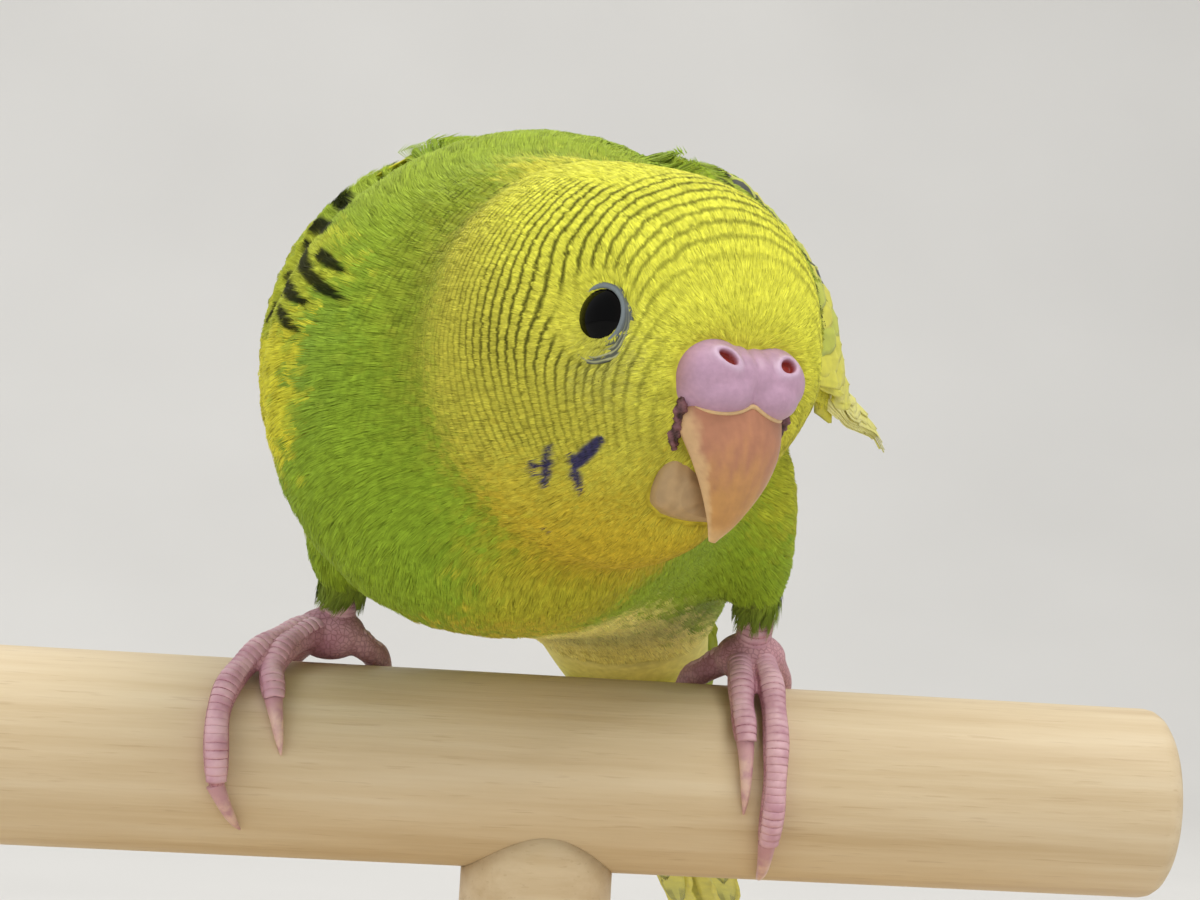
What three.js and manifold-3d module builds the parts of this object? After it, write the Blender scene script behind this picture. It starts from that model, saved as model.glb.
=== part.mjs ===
import * as THREE from 'three';
import { mergeVertices } from 'three/addons/utils/BufferGeometryUtils.js';
import Module from 'manifold-3d';

// A young budgerigar, life size, crouched on a round wooden perch that a display stand carries.
// Millimetres, +Z up. The origin is the middle of the base's underside, under the post.
// The perch runs along X. The bird leans out over it towards -Y and turns its head to its left.

const wasm = await Module();
wasm.setup();

// Stand
const PERCH_RADIUS = 8;
const PERCH_HALF_LENGTH = 52.9;
const PERCH_EDGE_ROUND = 1.6;
const PERCH_SIDES = 30;
const POST_RADIUS = 6.25;
const BASE_RADIUS = 56;
const BASE_THICKNESS = 8;
const BASE_EDGE_ROUND = 1.5;
const TAIL_CLEARANCE = 36;
const PERCH_HEIGHT = BASE_THICKNESS + TAIL_CLEARANCE;

// Neighbouring pieces stand this far apart where they meet.
const GAP = 0.3;

// Bird, as placed over the perch's axis
const BODY_ORIGIN = [-2.4, -12, 31];
const BODY_TURN = -110;
const HEAD_ORIGIN = [0.42, -37.7, 30.5];
const HEAD_TURN = -61.3;
const HEAD_NOD = 9.7;
const HEAD_TILT = -0.6;
const TAIL_DROOP = 27;

const BODY_SIDES = 24;
const TORSO_RINGS = 17;
const HEAD_RINGS = 14;
const NECK_RINGS = 8;

// Stations of a loft: place along the axis, side and height of the middle, half width,
// reach upwards and reach downwards.
const TORSO = [
  [-33.0, 0, -17.8, 8.2, 6.2, 5.2],
  [-27.0, 0, -13.6, 11.0, 10.4, 8.0],
  [-19.0, 0, -8.4, 14.4, 16.8, 12.2],
  [-10.0, -0.4, -3.5, 17.2, 20.0, 16.6],
  [-1.0, -0.7, -0.3, 18.7, 20.3, 20.0],
  [8.0, -0.9, 0.0, 19.1, 19.2, 20.5],
  [15.0, -1.1, -0.8, 18.3, 16.6, 19.7],
  [20.5, -0.9, -2.0, 15.3, 13.2, 17.0],
  [24.5, -0.5, -3.2, 10.1, 9.0, 12.1],
  [26.5, 0, -4.0, 3.0, 3.0, 3.5],
];
const NECK_TURN = 30;
const NECK = [
  [-12.0, -3.0, -0.5, 13.5, 15.0, 15.5],
  [-5.0, -1.5, 0.0, 15.8, 16.6, 17.0],
  [2.0, 0.3, 0.0, 15.6, 16.0, 17.2],
  [9.0, 2.0, 0.0, 13.4, 14.8, 15.8],
  [15.0, 4.0, -0.5, 11.0, 11.5, 12.0],
];
const HEAD = [
  [-12.0, 0, 0.5, 10.5, 10.5, 11.5],
  [-8.0, 0, 0.3, 13.2, 13.2, 14.0],
  [-3.0, 0, 0.0, 14.1, 13.9, 14.8],
  [2.0, 0, 0.0, 13.1, 13.7, 14.6],
  [6.0, 0, 0.2, 11.7, 12.8, 13.6],
  [9.5, 0, 0.4, 9.8, 10.6, 12.0],
  [11.8, 0, 0.4, 7.2, 7.8, 9.4],
  [12.8, 0, 0.2, 4.0, 5.0, 6.0],
];
// The thin cuts that part the neck from torso and head: place on the body's axis, side, turn
const NECK_CUT = { x: 12, y: 0, turn: 5 };
const HEAD_CUT = { x: 19, y: 6, turn: 28 };

// Head
const EYE_POINT = [6.9, 9.4, 2.9];
const EYE_AXIS = [0.24, 0.96, 0.12];
const EYE_RADIUS = 2.9;
const JOWL_PINCH = 0.52;
const EYE_HOLLOW_DEPTH = 2.2;
const EYE_HOLLOW_RADIUS = 4.3;
const LID_RING_RADIUS = 2.7;
const LID_THICKNESS = 0.5;
const LID_SET_BACK = 0.75;
const CERE_LOBE = { x: 10.9, y: 2.5, z: 0.2, length: 3.1, width: 2.9, height: 2.55 };
const NOSTRIL = { x: 13.3, y: 2.6, z: 1.5, radius: 0.55 };
// Each bill station: inner point x, z, outer point x, z, half width
const BILL_UPPER = [
  [6.0, -3.6, 8.4, 0.6, 4.0],
  [8.2, -4.9, 12.2, 0.2, 4.5],
  [9.8, -6.0, 14.1, -3.0, 3.9],
  [10.8, -7.3, 14.3, -6.3, 2.8],
  [11.3, -9.2, 13.2, -9.3, 1.4],
  [11.4, -10.8, 11.8, -11.0, 0.35],
];
const BILL_LOWER = [
  [4.8, -8.8, 4.6, -4.6, 3.8],
  [7.4, -9.8, 7.4, -4.5, 4.5],
  [9.8, -9.9, 10.4, -5.0, 4.3],
  [11.0, -9.4, 11.4, -6.6, 2.8],
];

// Wings: cross-sections along the body's axis: x, half width, height of the middle, half height,
// lowest and highest angle round the body. The left wing is held a little up and out.
const WING_LEFT = [
  [11.5, 18.4, 0.5, 18.6, 2, 34],
  [8.0, 18.9, 0.5, 19.4, -2, 46],
  [0.0, 19.0, 0.5, 20.0, -2, 62],
  [-10.0, 18.8, 0.0, 18.8, -1, 74],
  [-22.0, 18.4, -1.0, 14.4, 4, 76],
  [-36.0, 18.0, -1.0, 11.2, 7, 64],
  [-46.0, 17.8, -0.8, 11.2, 8, 46],
  [-56.0, 17.4, -0.3, 11.2, 8, 34],
  [-68.0, 17.0, 0.4, 11.2, 7, 22],
  [-81.0, 16.4, 0.7, 11.2, 3, 9],
];
const WING_RIGHT = [
  [12.0, 19.4, 0.0, 19.0, -8, 30],
  [8.5, 20.1, 0.0, 20.1, -22, 44],
  [0.0, 20.1, 0.0, 21.3, -26, 64],
  [-10.0, 19.2, -1.4, 19.9, -28, 78],
  [-22.0, 16.8, -5.0, 16.3, -28, 80],
  [-36.0, 13.2, -8.4, 12.2, -26, 66],
  [-46.0, 10.6, -9.6, 11.5, -24, 42],
  [-56.0, 8.6, -10.6, 11.0, -20, 26],
  [-68.0, 6.4, -11.4, 11.0, -12, 14],
  [-81.0, 4.6, -12.2, 11.0, -2, 6],
];
const WING_CORE_END = -9;
const WING_CORE_THICKNESS = 2.1;
// The room kept clear for a wing: its thickness, and its spread across as a share of the wing's depth
const WING_SPACE_THICKNESS = 4.2;
const WING_SPACE_SPREAD = 1.28;

// Vanes
const VANE_THICKNESS = 0.5;
const VANE_TIP_THICKNESS = 0.35;
const VANE_TIP_HALF = 0.3;
const VANE_SLOPE = 0.42;
const VANE_RISE = 0.78;

// The folded fan of a wing, from the lowest primary to the innermost tertial: where each tip lies
const PRIMARY_TIPS = [-74, -81, -78, -69, -60, -51, -44];
const SECONDARY_TIPS = [-41, -39, -38, -38, -39, -34];
const PRIMARY_SHARE = 0.42;
const PRIMARY_WIDTH = 4.2;
const SECONDARY_WIDTH = 6.4;
const FAN_ROOT = 2;
const FAN_HEIGHT = 0.9;
// The greater coverts, which lie over the fan's roots
const COVERT_COUNT = 7;
const COVERT_ROOT = 0;
const COVERT_TIP = -17;
const COVERT_WIDTH = 6;
const COVERT_LOW = 1.2;
const COVERT_HIGH = 3.1;

// Tail
const TAIL_ROOT = [-31.5, 0, -17.6];
const TAIL_PAIRS = [86, 72, 62, 54, 47, 41];
const TAIL_STEP = 0.5;
const TAIL_CORE_SIDES = 14;
const TAIL_VANE_ROOT = 5;
const TAIL_VANE_WIDTH = 4.6;
const TAIL_VANE_OUT = 2.5;
const TAIL_OUTER_STEP = 0.28;
const TAIL_ROOF = 0.1;
// The tail's root: distance along, half width, reach up and reach down
const TAIL_CORE = [
  [-1, 8.4, 6.2, 5.4],
  [5, 7.6, 5.0, 5.0],
  [12, 6.4, 2.8, 4.0],
  [19, 4.6, 1.0, 2.8],
];
const TAIL_COVERTS = {
  upper: { count: 7, width: 5.2, spread: 4.2, root: 8, length: 34, taper: 7, low: 1.6, high: 1.3 },
  under: { count: 6, width: 5.4, spread: 3.6, root: 8, length: 37, taper: 6, low: -3.0, high: -4.3 },
};

// Legs: points over the perch's axis
const THIGHS = {
  left: [[10.5, -12, 27, 6.5], [12.8, -10, 22.5, 6.2], [15.4, -6.5, 18.2, 4.2], [16.8, -3.6, 14.8, 2.4]],
  right: [[-13.0, -8, 27, 6.5], [-15.5, -6.5, 22.5, 6.4], [-17.1, -3.5, 18.0, 4.6], [-17.4, -0.8, 14.2, 2.6]],
};
const SHANKS = {
  left: [[16.6, -4.2, 15.8], [16.8, -2.6, 13.0], [16.9, -0.6, 11.0]],
  right: [[-17.2, -1.6, 15.2], [-17.6, 0.0, 12.8], [-18.2, 0.8, 11.0]],
};
const SHANK_RADIUS = 1.5;
const TOE_RADIUS = 1.15;
const TOE_TIP_RADIUS = 0.85;
const TOE_SIDES = 7;
const PALM_PAD = { reaches: [2.2, 2.2, 1.6], drop: 0.3 };
const CLAW_SIDES = 6;
const CLAW_MIDDLE = { radius: 0.5, lift: 0.15 };
const CLAW_TIP_LIFT = 0.05;
const CLAW_ROOT_RADIUS = 0.7;
const CLAW_TIP_RADIUS = 0.12;
// Each toe: place along the perch, angle from its top towards the front, extra height
const TOES = {
  left: {
    2: [[16.4, -6, 1.6], [15.6, 20, 0.6], [15.3, 45, 0], [15.4, 68, 0], [15.6, 106, 0]],
    3: [[17.3, -6, 1.6], [17.8, 20, 0.6], [17.9, 48, 0], [17.8, 86, 0], [17.7, 122, 0], [18.0, 160, 0]],
    4: [[17.8, 0, 1.4], [19.8, -14, 0.4], [20.8, -42, 0], [21.0, -72, 0], [20.7, -98, 0], [20.4, -128, 0]],
    1: [[15.9, 0, 1.2], [13.6, -12, 0.2], [12.5, -36, 0], [12.3, -58, 0], [12.2, -86, 0]],
  },
  right: {
    2: [[-18.2, -2, 1.4], [-21.2, 15, 0.7], [-22.8, 36, 0], [-22.6, 58, 0], [-21.8, 86, 0]],
    3: [[-18.6, -8, 1.6], [-22.3, 14, 0.7], [-25.3, 38, 0], [-26.9, 66, 0], [-26.7, 104, 0], [-24.6, 132, 0]],
    4: [[-18.8, 4, 1.2], [-20.8, -20, 0.3], [-22.4, -46, 0], [-22.8, -76, 0], [-22.4, -102, 0], [-21.8, -132, 0]],
    1: [[-17.4, 2, 1.2], [-14.9, -10, 0.2], [-13.5, -34, 0], [-13.2, -58, 0], [-13.0, -86, 0]],
  },
};

const COLOURS = {
  green: 0x6fae2f,
  yellow: 0xe3da2a,
  cere: 0xc79ac6,
  bill: 0xe2a57a,
  billPale: 0xd9b79b,
  eye: 0x0b0b0d,
  foot: 0xcf8f94,
  claw: 0xd9b3a6,
  wood: 0xe0c49a,
};

const radians = THREE.MathUtils.degToRad;
const { lerp, smoothstep } = THREE.MathUtils;

function material(colour, roughness) {
  return new THREE.MeshStandardMaterial({ color: colour, roughness, metalness: 0 });
}

// Solids from grids of points

function geometryOf(points, faces) {
  const geometry = new THREE.BufferGeometry();
  const flat = points.flatMap((p) => [p.x, p.y, p.z]);
  geometry.setAttribute('position', new THREE.Float32BufferAttribute(flat, 3));
  geometry.setIndex(faces.flat());
  return facingOut(geometry);
}

function signedVolume(geometry) {
  const index = geometry.index.array;
  const at = geometry.attributes.position;
  const corners = [new THREE.Vector3(), new THREE.Vector3(), new THREE.Vector3()];
  let sum = 0;
  for (let i = 0; i < index.length; i += 3) {
    corners.forEach((corner, k) => corner.fromBufferAttribute(at, index[i + k]));
    sum += corners[0].dot(corners[1].clone().cross(corners[2])) / 6;
  }
  return sum;
}

function facingOut(geometry) {
  if (signedVolume(geometry) < 0) {
    const index = geometry.index.array;
    for (let i = 0; i < index.length; i += 3) {
      [index[i + 1], index[i + 2]] = [index[i + 2], index[i + 1]];
    }
  }
  return geometry;
}

// A closed body through rings of equal count, with a fan over each end ring.
function loft(rings) {
  const sides = rings[0].length;
  const points = rings.flat();
  const faces = [];
  for (let i = 0; i + 1 < rings.length; i += 1) {
    for (let j = 0; j < sides; j += 1) {
      const k = (j + 1) % sides;
      const a = i * sides + j;
      const b = i * sides + k;
      faces.push([a, b, b + sides], [a, b + sides, a + sides]);
    }
  }
  for (const [ring, turned] of [[0, true], [rings.length - 1, false]]) {
    const middle = new THREE.Vector3();
    rings[ring].forEach((p) => middle.addScaledVector(p, 1 / sides));
    const hub = points.length;
    points.push(middle);
    for (let j = 0; j < sides; j += 1) {
      const a = ring * sides + j;
      const b = ring * sides + (j + 1) % sides;
      faces.push(turned ? [b, a, hub] : [a, b, hub]);
    }
  }
  return geometryOf(points, faces);
}

// A closed sheet between two faces that are split into triangles alike.
function slab(upper, lower, along, across) {
  const points = [];
  const row = across + 1;
  for (const face of [upper, lower]) {
    for (let i = 0; i <= along; i += 1) {
      for (let j = 0; j <= across; j += 1) {
        points.push(face(i / along, j / across));
      }
    }
  }
  const under = (along + 1) * row;
  const faces = [];
  for (let i = 0; i < along; i += 1) {
    for (let j = 0; j < across; j += 1) {
      const a = i * row + j;
      const b = a + 1;
      const c = a + row + 1;
      const d = a + row;
      faces.push([a, b, c], [a, c, d]);
      faces.push([under + a, under + c, under + b], [under + a, under + d, under + c]);
    }
  }
  const rim = [];
  for (let j = 0; j < across; j += 1) rim.push(j);
  for (let i = 0; i < along; i += 1) rim.push(i * row + across);
  for (let j = across; j > 0; j -= 1) rim.push(along * row + j);
  for (let i = along; i > 0; i -= 1) rim.push(i * row);
  rim.forEach((a, n) => {
    const b = rim[(n + 1) % rim.length];
    faces.push([b, a, under + a], [b, under + a, under + b]);
  });
  return geometryOf(points, faces);
}

function smooth(stations, count) {
  const centres = new THREE.CatmullRomCurve3(
    stations.map((s) => new THREE.Vector3(s[0], s[1], s[2])), false, 'centripetal');
  const reaches = new THREE.CatmullRomCurve3(
    stations.map((s) => new THREE.Vector3(s[3], s[4] ?? 0, s[5] ?? 0)), false, 'centripetal');
  return Array.from({ length: count + 1 }, (_, i) => {
    const t = i / count;
    return { centre: centres.getPoint(t), reach: reaches.getPoint(t) };
  });
}

// Rings across the X axis of a frame, wider below than above or the other way round.
function bodyRings(stations, count, grow = 0, pinch = () => 0) {
  return smooth(stations, count).map(({ centre, reach }) => {
    return Array.from({ length: BODY_SIDES }, (_, j) => {
      const angle = (2 * Math.PI * j) / BODY_SIDES;
      const rise = Math.sin(angle) > 0 ? reach.y : reach.z;
      const narrowing = 1 - pinch(centre.x) * Math.max(-Math.sin(angle), 0);
      return new THREE.Vector3(
        centre.x,
        centre.y + (reach.x + grow) * Math.cos(angle) * narrowing,
        centre.z + (rise + grow) * Math.sin(angle));
    });
  });
}

// A round bar along a path of points that each carry a radius.
function bar(path, sides, steps) {
  const curve = new THREE.CatmullRomCurve3(path.map((p) => new THREE.Vector3(p[0], p[1], p[2])));
  const widths = new THREE.CatmullRomCurve3(path.map((p) => new THREE.Vector3(p[3], 0, 0)));
  const frames = curve.computeFrenetFrames(steps, false);
  const rings = [];
  for (let i = 0; i <= steps; i += 1) {
    const t = curve.getUtoTmapping(i / steps);
    const centre = curve.getPoint(t);
    const radius = widths.getPoint(t).x;
    rings.push(Array.from({ length: sides }, (_, j) => {
      const angle = (2 * Math.PI * j) / sides;
      return centre.clone()
        .addScaledVector(frames.normals[i], radius * Math.cos(angle))
        .addScaledVector(frames.binormals[i], radius * Math.sin(angle));
    }));
  }
  return loft(rings);
}

function ellipsoid(centre, reaches, across = 16, down = 10) {
  const geometry = new THREE.SphereGeometry(1, across, down);
  geometry.scale(...reaches);
  geometry.translate(...centre);
  return geometry;
}

// One vane: place(along, aside, height) gives its points, from the root at 0 to the tip at 1.
// Its upper edge lies lower, so that the next vane passes over it. A higher power gives a blunter tip.
function vane(place, width, steps, power, slope = VANE_SLOPE) {
  const half = (s) => {
    const outline = Math.min(1, 0.62 + 1.5 * s) * Math.sqrt(1 - s ** power);
    return Math.max(0.5 * width * outline, VANE_TIP_HALF);
  };
  const face = (top) => (s, v) => {
    const aside = (2 * v - 1) * half(s);
    const thickness = lerp(VANE_THICKNESS, VANE_TIP_THICKNESS, s);
    return place(s, aside, top * thickness - slope * aside);
  };
  return slab(face(1), face(0), steps, 1);
}

// Joining and cutting

function solid(geometry) {
  const bare = geometry.clone();
  bare.deleteAttribute('normal');
  bare.deleteAttribute('uv');
  const merged = mergeVertices(bare, 1e-3);
  const mesh = new wasm.Mesh({
    numProp: 3,
    vertProperties: Float32Array.from(merged.attributes.position.array),
    triVerts: Uint32Array.from(merged.index.array),
  });
  return new wasm.Manifold(mesh);
}

function largestPiece(body) {
  const pieces = body.decompose();
  return pieces.reduce((best, piece) => (piece.volume() > best.volume() ? piece : best));
}

function geometryFrom(body) {
  const mesh = largestPiece(body).getMesh();
  const geometry = new THREE.BufferGeometry();
  geometry.setAttribute('position', new THREE.BufferAttribute(mesh.vertProperties, 3));
  geometry.setIndex(new THREE.BufferAttribute(mesh.triVerts, 1));
  return geometry;
}

function joined(geometries) {
  return geometries.map(solid).reduce((sum, next) => sum.add(next));
}

// Frames

function frameOf(origin, turn, nod = 0, tilt = 0) {
  const place = new THREE.Matrix4().makeTranslation(...origin);
  place.multiply(new THREE.Matrix4().makeRotationZ(radians(turn)));
  place.multiply(new THREE.Matrix4().makeRotationY(radians(nod)));
  place.multiply(new THREE.Matrix4().makeRotationX(radians(tilt)));
  return place;
}

const bodyFrame = frameOf(BODY_ORIGIN, BODY_TURN);
const headFrame = frameOf(HEAD_ORIGIN, HEAD_TURN, HEAD_NOD, HEAD_TILT);
const neckFrame = bodyFrame.clone().multiply(frameOf([12, 1, 0], NECK_TURN));
const tailFrame = bodyFrame.clone().multiply(frameOf(TAIL_ROOT, 180, TAIL_DROOP));

function inFrame(frame, geometry) {
  return geometry.applyMatrix4(frame);
}

// Half of space beyond a cut, as a large box
function beyond(cut, shift) {
  const size = 200;
  const box = new THREE.BoxGeometry(size, size, size);
  box.translate(size / 2 + shift, 0, 0);
  box.applyMatrix4(frameOf([cut.x, cut.y, 0], cut.turn));
  return solid(inFrame(bodyFrame, box));
}

// Head

function sided(point, side) {
  return new THREE.Vector3(point[0], point[1] * side, point[2]);
}

function eyeCentre(side) {
  const axis = sided(EYE_AXIS, side).normalize();
  return sided(EYE_POINT, side).addScaledVector(axis, -EYE_RADIUS);
}

// The plumage sinks towards each eye.
function sinkAtEyes(point) {
  for (const side of [-1, 1]) {
    const axis = sided(EYE_AXIS, side).normalize();
    const away = point.clone().sub(sided(EYE_POINT, side));
    const height = away.dot(axis);
    const aside = Math.sqrt(Math.max(away.lengthSq() - height * height, 0));
    if (height > -4) {
      const share = Math.exp(-((aside / EYE_HOLLOW_RADIUS) ** 2));
      point.addScaledVector(axis, -EYE_HOLLOW_DEPTH * share);
    }
  }
  return point;
}

// The face narrows below the eyes, towards the bill.
function jowl(x) {
  return JOWL_PINCH * THREE.MathUtils.smoothstep(x, -4, 10);
}

function headCore(grow) {
  const rings = bodyRings(HEAD, HEAD_RINGS, grow, jowl);
  rings.forEach((ring) => ring.forEach(sinkAtEyes));
  return inFrame(headFrame, loft(rings));
}

function lidRing(side) {
  const ring = new THREE.TorusGeometry(LID_RING_RADIUS, LID_THICKNESS, 4, 15);
  const axis = sided(EYE_AXIS, side).normalize();
  ring.applyQuaternion(new THREE.Quaternion().setFromUnitVectors(new THREE.Vector3(0, 0, 1), axis));
  const centre = sided(EYE_POINT, side).addScaledVector(axis, -LID_SET_BACK);
  ring.translate(centre.x, centre.y, centre.z);
  return inFrame(headFrame, ring);
}

function eyeBall(side, grow = 0) {
  const reach = EYE_RADIUS + grow;
  const ball = ellipsoid(eyeCentre(side).toArray(), [reach, reach, reach], 14, 9);
  return inFrame(headFrame, ball);
}

function billRings(stations, sides, grow = 0) {
  const inner = new THREE.CatmullRomCurve3(stations.map((s) => new THREE.Vector3(s[0], 0, s[1])));
  const outer = new THREE.CatmullRomCurve3(stations.map((s) => new THREE.Vector3(s[2], 0, s[3])));
  const width = new THREE.CatmullRomCurve3(stations.map((s) => new THREE.Vector3(s[4], 0, 0)));
  const count = (stations.length - 1) * 2;
  const rings = [];
  for (let i = 0; i <= count; i += 1) {
    const low = inner.getPoint(i / count);
    const high = outer.getPoint(i / count);
    const half = high.clone().sub(low).multiplyScalar(0.5);
    const middle = low.clone().add(half);
    half.setLength(half.length() + grow);
    rings.push(Array.from({ length: sides }, (_, j) => {
      const angle = (2 * Math.PI * j) / sides;
      const point = middle.clone().addScaledVector(half, Math.cos(angle));
      point.y = (width.getPoint(i / count).x + grow) * Math.sin(angle);
      return point;
    }));
  }
  return rings;
}

function bill(stations, grow = 0) {
  return inFrame(headFrame, loft(billRings(stations, 14, grow)));
}

function cere(grow = 0) {
  const lobe = CERE_LOBE;
  const reaches = [lobe.length + grow, lobe.width + grow, lobe.height + grow];
  const lobes = [-1, 1].map((side) => ellipsoid([lobe.x, side * lobe.y, lobe.z], reaches, 12, 8));
  return joined(lobes.map((piece) => inFrame(headFrame, piece)));
}

function nostril(side) {
  const size = NOSTRIL.radius;
  const place = [NOSTRIL.x, side * NOSTRIL.y, NOSTRIL.z];
  return solid(inFrame(headFrame, ellipsoid(place, [size * 1.6, size, size], 8, 6)));
}

// Wings

function wingSection(stations, x) {
  const rows = stations.map((s) => s[0]);
  let i = 0;
  while (i + 2 < rows.length && x < rows[i + 1]) i += 1;
  const share = (x - rows[i]) / (rows[i + 1] - rows[i]);
  return stations[i].map((value, k) => value + (stations[i + 1][k] - value) * share);
}

// A point of a wing: x along the body, v from the lower edge to the upper one, and height above
// the inner face.
function wingPoint(stations, side, x, v, height) {
  const [, half, middle, rise, low, high] = wingSection(stations, x);
  const angle = radians(low + (high - low) * v);
  const reach = new THREE.Vector3(0, half * Math.cos(angle), rise * Math.sin(angle));
  const out = new THREE.Vector3(0, Math.cos(angle) / half, Math.sin(angle) / rise).normalize();
  const point = new THREE.Vector3(x, 0, middle).add(reach).addScaledVector(out, height);
  point.y *= side;
  return point;
}

// The length of a wing's arc across, at one place along it
function wingDepth(stations, x) {
  const steps = 8;
  let length = 0;
  for (let i = 0; i < steps; i += 1) {
    const here = wingPoint(stations, 1, x, i / steps, 0);
    length += here.distanceTo(wingPoint(stations, 1, x, (i + 1) / steps, 0));
  }
  return length;
}

// The whole space that a wing takes up, grown outwards all over
function wingSpace(stations, side, grow) {
  const front = stations[0][0] + grow;
  const back = stations[stations.length - 1][0] - grow;
  const at = (height) => (s, v) => {
    const x = front + (back - front) * s;
    const level = height ? WING_SPACE_THICKNESS + grow : -grow;
    return wingPoint(stations, side, x, 0.5 + (v - 0.5) * WING_SPACE_SPREAD, level);
  };
  return inFrame(bodyFrame, slab(at(1), at(0), 24, 8));
}

// The arm and hand, which carry the roots of every vane
function wingCore(stations, side) {
  const front = stations[0][0];
  const at = (height) => (s, v) => {
    const x = lerp(front, WING_CORE_END, s);
    const crown = 0.55 + 0.45 * Math.sin(Math.PI * v) ** 0.5 * Math.min(1, 0.3 + 4 * s);
    return wingPoint(stations, side, x, v, height * WING_CORE_THICKNESS * crown);
  };
  return slab(at(1), at(0), 5, 6);
}

// Where the fan's vanes lie across the wing at one x, and how far each climbs over the one below
function fanAt(stations, x) {
  const primaries = PRIMARY_TIPS.length;
  const secondaries = SECONDARY_TIPS.length;
  const share = lerp(PRIMARY_SHARE, 1, smoothstep(-x, 40, 58));
  const places = [];
  for (let i = 0; i < primaries; i += 1) {
    places.push(share * (0.05 + 0.92 * (i / primaries)));
  }
  for (let i = 0; i < secondaries; i += 1) {
    places.push(share + (1 - share) * ((i + 0.3) / secondaries));
  }
  const depth = wingDepth(stations, x);
  let climb = 0;
  return places.map((v, i) => {
    if (i > 0) climb += Math.max(0, VANE_RISE - VANE_SLOPE * (v - places[i - 1]) * depth);
    return { v, climb, depth };
  });
}

function wingFan(stations, side) {
  const tips = [...PRIMARY_TIPS, ...SECONDARY_TIPS];
  return tips.map((tip, i) => {
    const primary = i < PRIMARY_TIPS.length;
    const place = (s, aside, height) => {
      const x = lerp(FAN_ROOT, tip, s);
      const { v, climb, depth } = fanAt(stations, x)[i];
      const level = FAN_HEIGHT + climb + height;
      return wingPoint(stations, side, x, v + aside / depth, level);
    };
    return vane(place, primary ? PRIMARY_WIDTH : SECONDARY_WIDTH, primary ? 6 : 4, primary ? 3 : 5);
  });
}

function wingCoverts(stations, side) {
  return Array.from({ length: COVERT_COUNT }, (_, i) => {
    const v = 0.06 + 0.86 * (i / (COVERT_COUNT - 1));
    const tip = COVERT_TIP + 1.5 * Math.sin(2.1 * i);
    const place = (s, aside, height) => {
      const x = lerp(COVERT_ROOT, tip, s);
      const level = lerp(COVERT_LOW, COVERT_HIGH, s) + height;
      return wingPoint(stations, side, x, v + aside / wingDepth(stations, x), level);
    };
    return vane(place, COVERT_WIDTH, 3, 4);
  });
}

function wing(stations, side) {
  const pieces = [wingCore(stations, side), ...wingFan(stations, side), ...wingCoverts(stations, side)];
  return joined(pieces.map((piece) => inFrame(bodyFrame, piece)));
}

// Tail

// The rectrices: a central pair on top, each outer pair shorter and below the one before
function rectrices() {
  return TAIL_PAIRS.flatMap((length, pair) => [1, -1].map((side) => {
    const level = -TAIL_STEP * (pair === 0 ? (1 - side) / 2 : pair + 1);
    const out = side * (pair === 0 ? 0.5 * TAIL_VANE_OUT : TAIL_VANE_OUT + TAIL_OUTER_STEP * (pair - 1));
    const place = (s, aside, height) => {
      const y = out + aside;
      return new THREE.Vector3(lerp(TAIL_VANE_ROOT, length, s), y, level + height - TAIL_ROOF * Math.abs(y));
    };
    return vane(place, TAIL_VANE_WIDTH, 4, 3, 0);
  }));
}

function tailCoverts({ count, width, spread, root, length, taper, low, high }) {
  return Array.from({ length: count }, (_, i) => {
    const across = 2 * (i / (count - 1)) - 1;
    const tip = length - taper * across * across;
    const lift = (i % 2) * Math.sign(high) * VANE_RISE;
    const place = (s, aside, height) => {
      const y = spread * across + aside;
      const level = lerp(low, high + lift, s) + height;
      return new THREE.Vector3(lerp(root, tip, s), y, level - TAIL_ROOF * Math.abs(y));
    };
    return vane(place, width, 3, 3, 0);
  });
}

function tail() {
  const core = loft(TAIL_CORE.map(([x, half, up, down]) => {
    return Array.from({ length: TAIL_CORE_SIDES }, (_, j) => {
      const angle = (2 * Math.PI * j) / TAIL_CORE_SIDES;
      const rise = Math.sin(angle) > 0 ? up : down;
      return new THREE.Vector3(x, half * Math.cos(angle), rise * Math.sin(angle));
    });
  }));
  const coverts = Object.values(TAIL_COVERTS).flatMap(tailCoverts);
  return joined([core, ...rectrices(), ...coverts].map((piece) => inFrame(tailFrame, piece)));
}

// Legs and feet

function overPerch([x, angle, lift], radius) {
  const reach = PERCH_RADIUS + GAP + radius + lift;
  return [x, -reach * Math.sin(radians(angle)), reach * Math.cos(radians(angle)), radius];
}

function toePath(points) {
  const count = points.length - 1;
  const joints = points.slice(0, count);
  return joints.map((p, i) => {
    const radius = TOE_RADIUS + (TOE_TIP_RADIUS - TOE_RADIUS) * (i / (count - 1));
    return overPerch(p, radius);
  });
}

function toe(points) {
  return bar(toePath(points), TOE_SIDES, (points.length - 2) * 3);
}

// A claw goes on from its toe and comes down to a point on the perch.
function claw(points) {
  const last = points[points.length - 2];
  const tip = points[points.length - 1];
  const turn = Math.sign(tip[1] - last[1]);
  const away = radians(1) * (PERCH_RADIUS + TOE_TIP_RADIUS);
  const start = last[1] + turn * (GAP / away);
  const middle = [(last[0] + tip[0]) / 2, (start + tip[1]) / 2];
  const radii = [CLAW_ROOT_RADIUS, CLAW_MIDDLE.radius, CLAW_TIP_RADIUS];
  const lifts = [TOE_TIP_RADIUS - CLAW_ROOT_RADIUS, CLAW_MIDDLE.lift, CLAW_TIP_LIFT];
  const path = [[last[0], start], middle, tip].map((p, i) => {
    return overPerch([p[0], p[1], lifts[i]], radii[i]);
  });
  return bar(path, CLAW_SIDES, 5);
}

function shank(side, grow = 0) {
  const path = SHANKS[side].map((p, i) => [p[0], p[1], i === 0 ? p[2] + grow : p[2], SHANK_RADIUS + grow]);
  return bar(path, TOE_SIDES, 4);
}

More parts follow.
